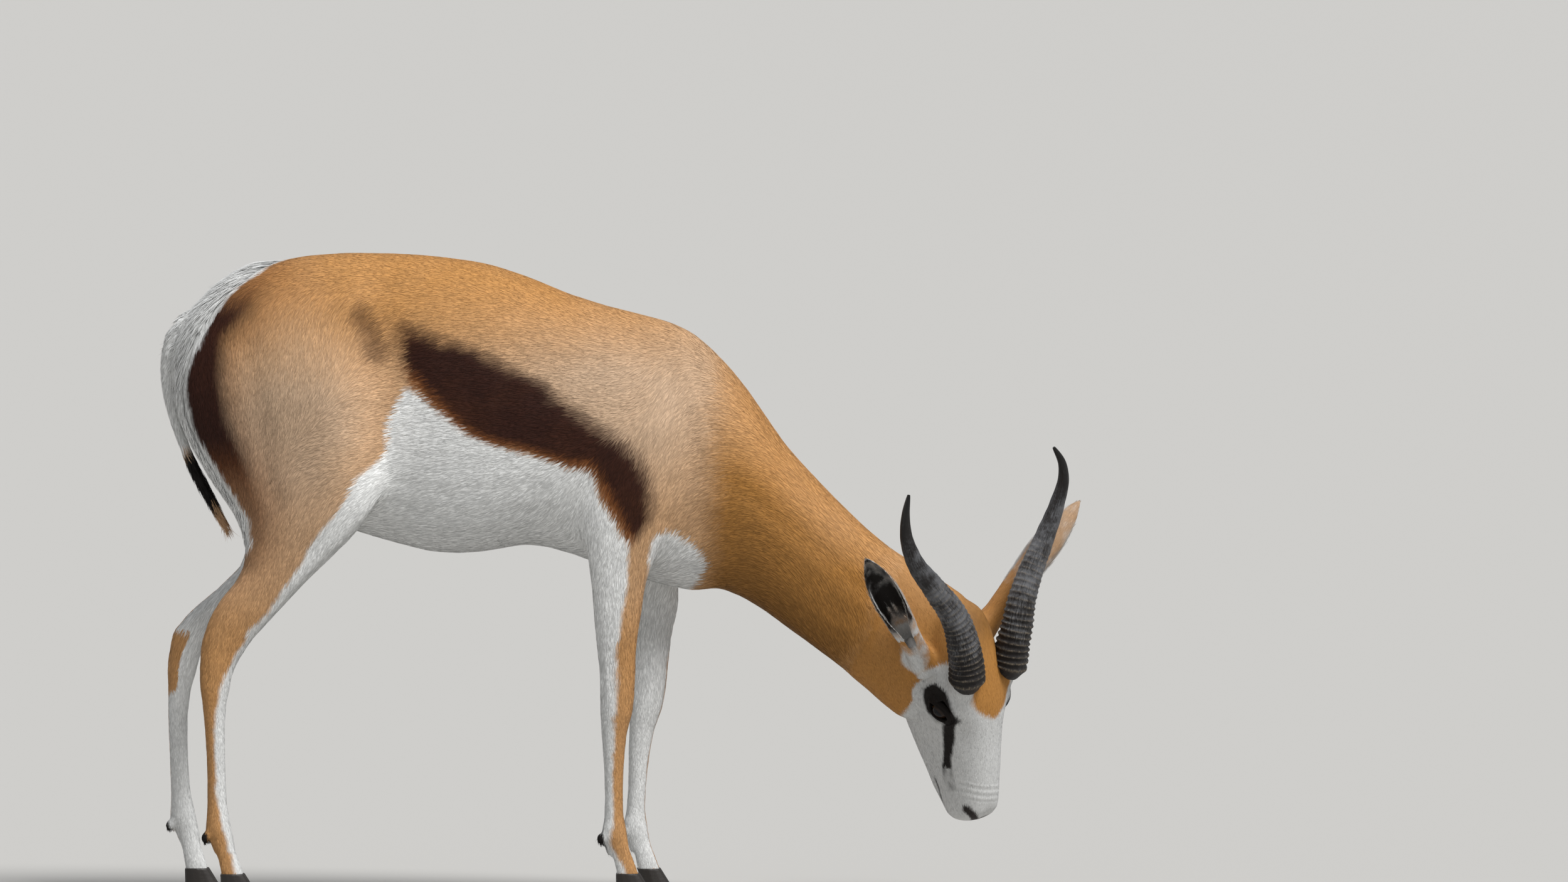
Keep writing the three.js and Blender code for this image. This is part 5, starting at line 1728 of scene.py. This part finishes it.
def lay_plan(mesh: Mesh, region: Array) -> None:
    """Unwraps the skin onto a plan: each region is seen along six directions, and the views are set in rows.

    Args:
        mesh: The skin's mesh of triangles.
        region: The region of each point.
    """
    triangles = numbers_of(mesh.loops, "vertex_index", 1, np.int32).reshape(-1, 3)
    points = vertices_of(mesh)
    corners = points[triangles]
    normal = crossed(corners)
    axis = np.abs(normal).argmax(1)
    front = normal[np.arange(len(normal)), axis] > 0
    view = region[triangles[:, 0]] * 6 + axis * 2 + front
    flat = np.zeros((len(triangles), 3, 2))
    sizes = []
    for key in np.unique(view):
        chosen = view == key
        along = [k for k in range(3) if k != (key % 6) // 2]
        seen = corners[chosen][:, :, along]
        low = seen.reshape(-1, 2).min(0)
        flat[chosen] = seen - low
        sizes.append((key, seen.reshape(-1, 2).max(0) - low))
    sizes.sort(key=lambda item: -item[1][1])
    scale = 1.0
    while True:
        x = y = row = 0.0
        corner_of = {}
        for key, size in sizes:
            wide, tall = size * scale + 0.004
            if x + wide > 1.0:
                x, y, row = 0.0, y + row, 0.0
            corner_of[key] = (x, y)
            x, row = x + wide, max(row, tall)
        if y + row <= 1.0:
            break
        scale *= 0.96
    for key, corner in corner_of.items():
        flat[view == key] = flat[view == key] * scale + np.array(corner) + 0.002
    plan = np.concatenate([flat.reshape(-1, 2), np.zeros((len(triangles) * 3, 1))], 1)
    put_values(mesh, "plan", plan, "CORNER")


# Horns, hooves and eyes.


@dataclass
class Horns:
    """Two lyre-shaped horns, ringed over their lower part and smooth at the tip."""

    line: Track = (
        (-27, 34.5, 30), (-33.5, 37, 37), (-58, 41, 45), (-82.5, 48, 51), (-106.5, 55.5, 55.5), (-130, 68, 58),
        (-151.5, 83.5, 60), (-195.5, 117, 65), (-219.5, 130, 70), (-243, 138, 76), (-266.5, 137, 80),
        (-288.5, 127, 80))
    base: float = 23.5
    tip: float = 2.2
    rings: int = 26
    ringed: tuple[float, float] = (0.01, 0.66)
    ring_depth: Stops = ((0, 2.5), (0.28, 2.1), (0.52, 0.9), (1.0, 0.12))
    heel: float = 0.045
    steps: int = 460
    sides: int = 56

    def build(self, finish: Material) -> list[Object]:
        """Both horns.

        Args:
            finish: The horn's material.

        Returns:
            The right and the left horn.
        """
        made = []
        for side, name in ((-1, "right"), (1, "left")):
            points = np.array([(x, y * side, z) for x, y, z in self.line])
            spine = HEAD.out(self._line(points))
            t = np.linspace(0, 1, len(spine))
            radius = self.tip + (self.base - self.tip) * (1 - t) ** 0.72
            radius *= np.sqrt(1 - (1 - np.clip(t / self.heel, 0, 1)) ** 2.4 * 0.82)
            share = (t - self.ringed[0]) / (self.ringed[1] - self.ringed[0])
            inside = ease(-0.04, 0.03, share) * ease(1.05, 0.75, share)
            crest = (0.5 + 0.5 * np.cos(2 * np.pi * (np.clip(share, 0, 1) * self.rings))) ** 1.5
            radius = radius - 0.5 + inside * (crest - 0.3) * ramp(share, self.ring_depth)
            up = HEAD.way([(0.3, 0.0, 1.0)])[0]
            mesh = swept(f"horn_{name}", spine, radius * MM, self.sides, up, 0.94)
            put_values(mesh, "crest", np.concatenate([np.repeat(crest * inside, self.sides), [0.0, 0.0]]))
            self._roughen(mesh)
            mesh.materials.append(finish)
            piece = shown(f"horn_{name}_dressed", mesh)
            made.append(finished(piece, "horn", f"horn_{name}"))
        return made

    def _line(self, points: Array) -> Array:
        """A smooth line through the points, evenly stepped, in millimetres."""
        line = rounded(tuple(map(tuple, points)), False, 12) / MM
        run = np.concatenate([[0], np.cumsum(np.linalg.norm(np.diff(line, axis=0), axis=1))])
        want = np.linspace(0, run[-1], self.steps)
        return np.stack([np.interp(want, run, line[:, k]) for k in range(3)], 1)

    def _roughen(self, mesh: Mesh) -> None:
        """Makes the rings uneven and flutes the horn along its length."""
        points, normals = vertices_of(mesh), normals_of(mesh)
        around, along = values_of(mesh, "around"), values_of(mesh, "along")
        turn = around * 2 * np.pi
        flute = (np.sin(turn * 9 + 3 * np.sin(along * 9)) + 0.7 * np.sin(turn * 17 - along * 11)) * 0.16
        knot = np.sin(turn * 2 + along * 70) * np.sin(along * 31 + turn) * 0.35
        put_vertices(mesh, points + normals * ((flute + knot) * ease(1.0, 0.6, along))[:, None] * MM)


@dataclass
class Hooves:
    """Eight half hooves, rounded from their solids."""

    voxel: float = 0.0009
    even: float = 0.5
    steps: int = 9

    def build(self, finish: Material) -> list[Object]:
        """Every half hoof, each standing for its solid.

        Args:
            finish: The hoof's material.

        Returns:
            Their objects.
        """
        made = []
        for name in sorted(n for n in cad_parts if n.startswith("hoof")):
            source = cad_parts[name].data
            level = level_set(vertices_of(source), triangles_of(source), self.voxel)
            points, _, quads = level.convertToPolygons(isovalue=0.0, adaptivity=0.0)
            mesh = mesh_from(name, points.astype(float), [quads[:, ::-1]])
            web = Web(edges_of(mesh), len(mesh.vertices))
            place = web.evened(vertices_of(mesh), self.even, self.steps)
            place[:, 2] = np.maximum(place[:, 2], 0.0)
            put_vertices(mesh, place)
            mesh.materials.append(finish)
            made.append(finished(shown(f"{name}_dressed", mesh), "hoof", name))
        return made


@dataclass(frozen=True)
class EyeFrame:
    """Where one eye sits and which way it looks; places are measured along its opening, across it and outwards."""

    side: int
    at: Place = (4.0, 44.0, -6.0)
    looks: Place = (0.20, 1.0, 0.10)
    runs: Place = (0.78, 0.0, 0.62)
    radius: float = 13.6
    half_length: float = 15.5
    upper: float = 7.6
    lower: float = 6.6
    lid: Place = (22.0, 18.0, 14.5)

    def axes(self) -> Array:
        """Directions of the scene along the opening, across it, and outwards."""
        out = unit(np.array(self.looks, float))
        run = np.array(self.runs, float)
        run = unit(run - (run @ out) * out)
        over = np.cross(out, run)
        return HEAD.way(np.array([run, over, out]) * (1, self.side, 1))

    def middle(self) -> Array:
        """The eyeball's middle."""
        return HEAD.out([(self.at[0], self.at[1] * self.side, self.at[2])])[0]

    def of(self, points: Array) -> Array:
        """Places of points in this frame, in millimetres."""
        return (points - self.middle()) @ self.axes().T / MM

    def out(self, places: Array) -> Array:
        """Points of the scene for places in this frame."""
        return np.asarray(places, float) * MM @ self.axes() + self.middle()

    def opening(self, turn: Array) -> Array:
        """The edge of the opening at each turn around it, along and across."""
        run = np.cos(turn)
        tall = np.where(np.sin(turn) > 0, self.upper, self.lower)
        lean = 1.6 * run * (1 - run ** 2)
        across = tall * np.sign(np.sin(turn)) * np.abs(np.sin(turn)) ** 1.35 - lean
        return np.stack([self.half_length * run, across], 1)

    def lid_height(self, flat: Array) -> Array:
        """How far out the lids lie at each place."""
        long, tall, out = self.lid
        return out * np.sqrt(np.clip(1 - (flat[:, 0] / long) ** 2 - (flat[:, 1] / tall) ** 2, 0.04, 1))

    def outside(self, flat: Array) -> Array:
        """How far each place lies outside the opening, below zero inside it."""
        edge = self.opening(turns(64))
        return -Patch(tuple(map(tuple, edge)), False).inside(flat * MM)

    def seated(self, points: Array) -> Array:
        """The skin's points moved so that the eye and its lids sit in it."""
        at = self.of(points)
        near = (np.abs(at[:, 0]) < 34) & (np.abs(at[:, 1]) < 30) & (at[:, 2] > 0) & (at[:, 2] < 40)
        flat = at[near, :2]
        beyond = self.outside(flat)
        lid = self.lid_height(flat)
        ball = np.sqrt(np.clip(self.radius ** 2 - (flat ** 2).sum(1), 9, None))
        wanted = lid - 1.1 + 1.2 * ease(3.2, 5.6, beyond)
        wanted = np.where(beyond < 0.8, np.minimum(wanted, ball - 1.6), wanted)
        keep = ease(5.0, 14.0, beyond)
        at[near, 2] = wanted * (1 - keep) + at[near, 2] * keep
        moved = points.copy()
        moved[near] = self.out(at[near])
        return moved


EYE_FRAMES = (EyeFrame(-1), EyeFrame(1))


@dataclass
class Eyes:
    """Two dark eyes set deep between their lids."""

    rings: int = 40
    sides: int = 72
    profile: tuple[tuple[float, float], ...] = (
        (-0.7, -2.4), (-0.25, -1.0), (0.0, -0.35), (0.5, 0.05), (1.2, 0.25), (2.2, 0.1), (3.0, -0.45), (3.9, 0.05),
        (4.8, -0.15), (5.8, -0.9), (6.8, -2.0))
    lashes: int = 34
    lash_length: float = 6.5

    def build(self, finish: Material, lid_finish: Material) -> list[Object]:
        """Both eyeballs and their lids.

        Args:
            finish: The eye's material.
            lid_finish: The lids' material.

        Returns:
            Their objects.
        """
        made = []
        for eye in EYE_FRAMES:
            name = "right" if eye.side < 0 else "left"
            polar = np.linspace(0, np.pi, self.rings + 1)[1:-1]
            turn = turns(self.sides)
            ring = np.stack([np.outer(np.sin(polar), np.cos(turn)), np.outer(np.sin(polar), np.sin(turn)),
                             np.outer(np.cos(polar), np.ones(self.sides))], -1).reshape(-1, 3)
            ball = np.concatenate([ring, [(0, 0, 1), (0, 0, -1)]])
            bulge = 1.0 + 0.03 * ease(0.70, 0.95, ball[:, 2])
            faces = [turned_over(face) for face in bar_faces(len(polar), self.sides)]
            if eye.side < 0:
                faces = [face[:, ::-1] for face in faces]
            mesh = mesh_from(f"eye_{name}", eye.out(ball * (bulge * eye.radius)[:, None]), faces)
            put_values(mesh, "level", ball[:, 0])
            put_values(mesh, "upright", ball[:, 1])
            mesh.materials.append(finish)
            made.append(finished(shown(f"eye_{name}_dressed", mesh), "eye", f"eye_{name}"))
            made.append(self._lid(eye, name, lid_finish))
        return made

    def _lid(self, eye: EyeFrame, name: str, finish: Material) -> Object:
        """Both lids of one eye as a ring with a rolled rim, a fold and lashes."""
        edge = eye.opening(turns(self.sides))
        way = np.roll(edge, -1, axis=0) - np.roll(edge, 1, axis=0)
        outward = unit(np.stack([way[:, 1], -way[:, 0]], 1))
        rows = []
        for beyond, rise in self.profile:
            flat = edge + outward * beyond
            rows.append(np.column_stack([flat, eye.lid_height(flat) + rise]))
        points = np.concatenate(rows)
        quads = turned_over(bar_faces(len(rows), self.sides)[0])
        faces = [quads[:, ::-1] if eye.side > 0 else quads]
        root = np.linspace(0.10, 0.62, self.lashes) * np.pi * 1.25
        tall = np.interp(root, [0.3, 1.2, 2.6], [0.6, 1.0, 0.5]) * self.lash_length
        at = eye.opening(root)
        start = len(points)
        spikes = []
        for k, (place, length) in enumerate(zip(at, tall)):
            out = eye.lid_height(place[None])[0]
            lean = unit(np.array([place[0] / 14, 1.0]))
            for share, half in ((0.0, 0.28), (0.5, 0.18)):
                flat = place + lean * length * share * (0.6 + 0.4 * share)
                rise = out + length * share * (0.9 - 0.4 * share)
                spikes += [(flat[0] - half, flat[1], rise), (flat[0] + half, flat[1], rise),
                           (flat[0], flat[1], rise + half)]
            flat = place + lean * length
            spikes.append((flat[0], flat[1], out + length * 0.5))
            base = start + 7 * k
            faces.append(base + np.array([(0, 1, 4), (0, 4, 3), (1, 2, 5), (1, 5, 4), (2, 0, 3), (2, 3, 5),
                                          (3, 4, 6), (4, 5, 6), (5, 3, 6)]))
        points = np.concatenate([points, np.array(spikes)])
        mesh = mesh_from(f"lid_{name}", eye.out(points), [faces[0], np.concatenate(faces[1:])])
        mesh.materials.append(finish)
        return finished(shown(f"lid_{name}", mesh), "coat")


# The studio.


@dataclass(frozen=True)
class Lamp:
    """A soft sun: its turn from the camera's side, its height and its softness in degrees, and its strength."""

    name: str
    turn: float
    height: float
    strength: float
    softness: float


@dataclass
class Studio:
    """Pale floor, soft light and the camera at the photograph's angle."""

    lamps: tuple[Lamp, ...] = (Lamp("key", 40.0, 52.0, 3.5, 24.0), Lamp("rim", -140.0, 40.0, 0.5, 30.0))
    sky: Colour = (0.93, 0.96, 1.0)
    sky_strength: float = 0.38
    width_seen: float = 1.938
    aim: Place = (0.2064, MIDDLE_Y, 0.5713)
    elevation: float = 2.0
    lens: float = 350.0
    sensor: float = 36.0
    floor_radius: float = 260.0
    floor_colour: Colour = (0.47, 0.46, 0.44)

    def build(self) -> None:
        """Sets up the floor, the lights and the camera."""
        self._floor()
        self._lights()
        self._camera()

    def _floor(self) -> None:
        """A round pale floor that reaches past the frame."""
        turn = turns(96)
        rim = np.stack([np.cos(turn), np.sin(turn), np.zeros(len(turn))], 1) * self.floor_radius
        mesh = mesh_from("floor", rim, [np.arange(len(turn))[None]])
        mesh.materials.append(Shader("floor_pale").finish(self.floor_colour, 0.9, Specular_IOR_Level=0.1))
        shown("floor", mesh)

    def _lights(self) -> None:
        """A broad key from above the camera's right, a low light from behind and a pale sky."""
        world = bpy.data.worlds.new("studio")
        world.use_nodes = True
        background = world.node_tree.nodes["Background"].inputs
        background["Color"].default_value = (*self.sky, 1.0)
        background["Strength"].default_value = self.sky_strength
        bpy.context.scene.world = world
        for lamp in self.lamps:
            data = bpy.data.lights.new(lamp.name, "SUN")
            data.energy = lamp.strength
            data.angle = math.radians(lamp.softness)
            light = bpy.data.objects.new(lamp.name, data)
            a, h = math.radians(lamp.turn), math.radians(lamp.height)
            toward = Vector((math.sin(a) * math.cos(h), -math.cos(a) * math.cos(h), math.sin(h)))
            light.rotation_euler = toward.to_track_quat("Z", "Y").to_euler()
            bpy.context.scene.collection.objects.link(light)
        bpy.context.scene.view_settings.view_transform = "Standard"

    def _camera(self) -> None:
        """A long lens, level with the animal and a little above it."""
        data = bpy.data.cameras.new("camera")
        data.lens = self.lens
        data.sensor_width = self.sensor
        data.clip_end = 800.0
        camera = bpy.data.objects.new("camera", data)
        distance = self.lens / self.sensor * self.width_seen
        tilt = math.radians(self.elevation)
        camera.location = Vector(self.aim) + Vector((0, -math.cos(tilt), math.sin(tilt))) * distance
        camera.rotation_euler = (math.pi / 2 - tilt, 0, 0)
        bpy.context.scene.collection.objects.link(camera)
        bpy.context.scene.camera = camera


def main() -> None:
    """Builds the springbok piece by piece."""
    logging.basicConfig(level=logging.INFO, format="%(name)s %(message)s")
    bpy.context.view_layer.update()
    Studio().build()
    coat = CoatFinish()
    skin = Skin().build()
    mesh = skin.data
    points, normals = vertices_of(mesh), normals_of(mesh)
    put_values(mesh, "lie", Lie().at(points, normals))
    lay_plan(mesh, regions_of(mesh))
    Markings().store(mesh)
    Grooming().store(mesh)
    Coat().build(skin, coat.tufts())
    mesh.materials.append(coat.skin())
    flesh = [region.value for region in REGIONS if region is not Region.HOOF]
    finished(skin, "coat", *flesh, "croup_crest")
    Horns().build(HornFinish().build())
    Hooves().build(HoofFinish().build())
    Eyes().build(EyeFinish().build(), BareSkinFinish().build())


if __name__ == "__main__":
    main()
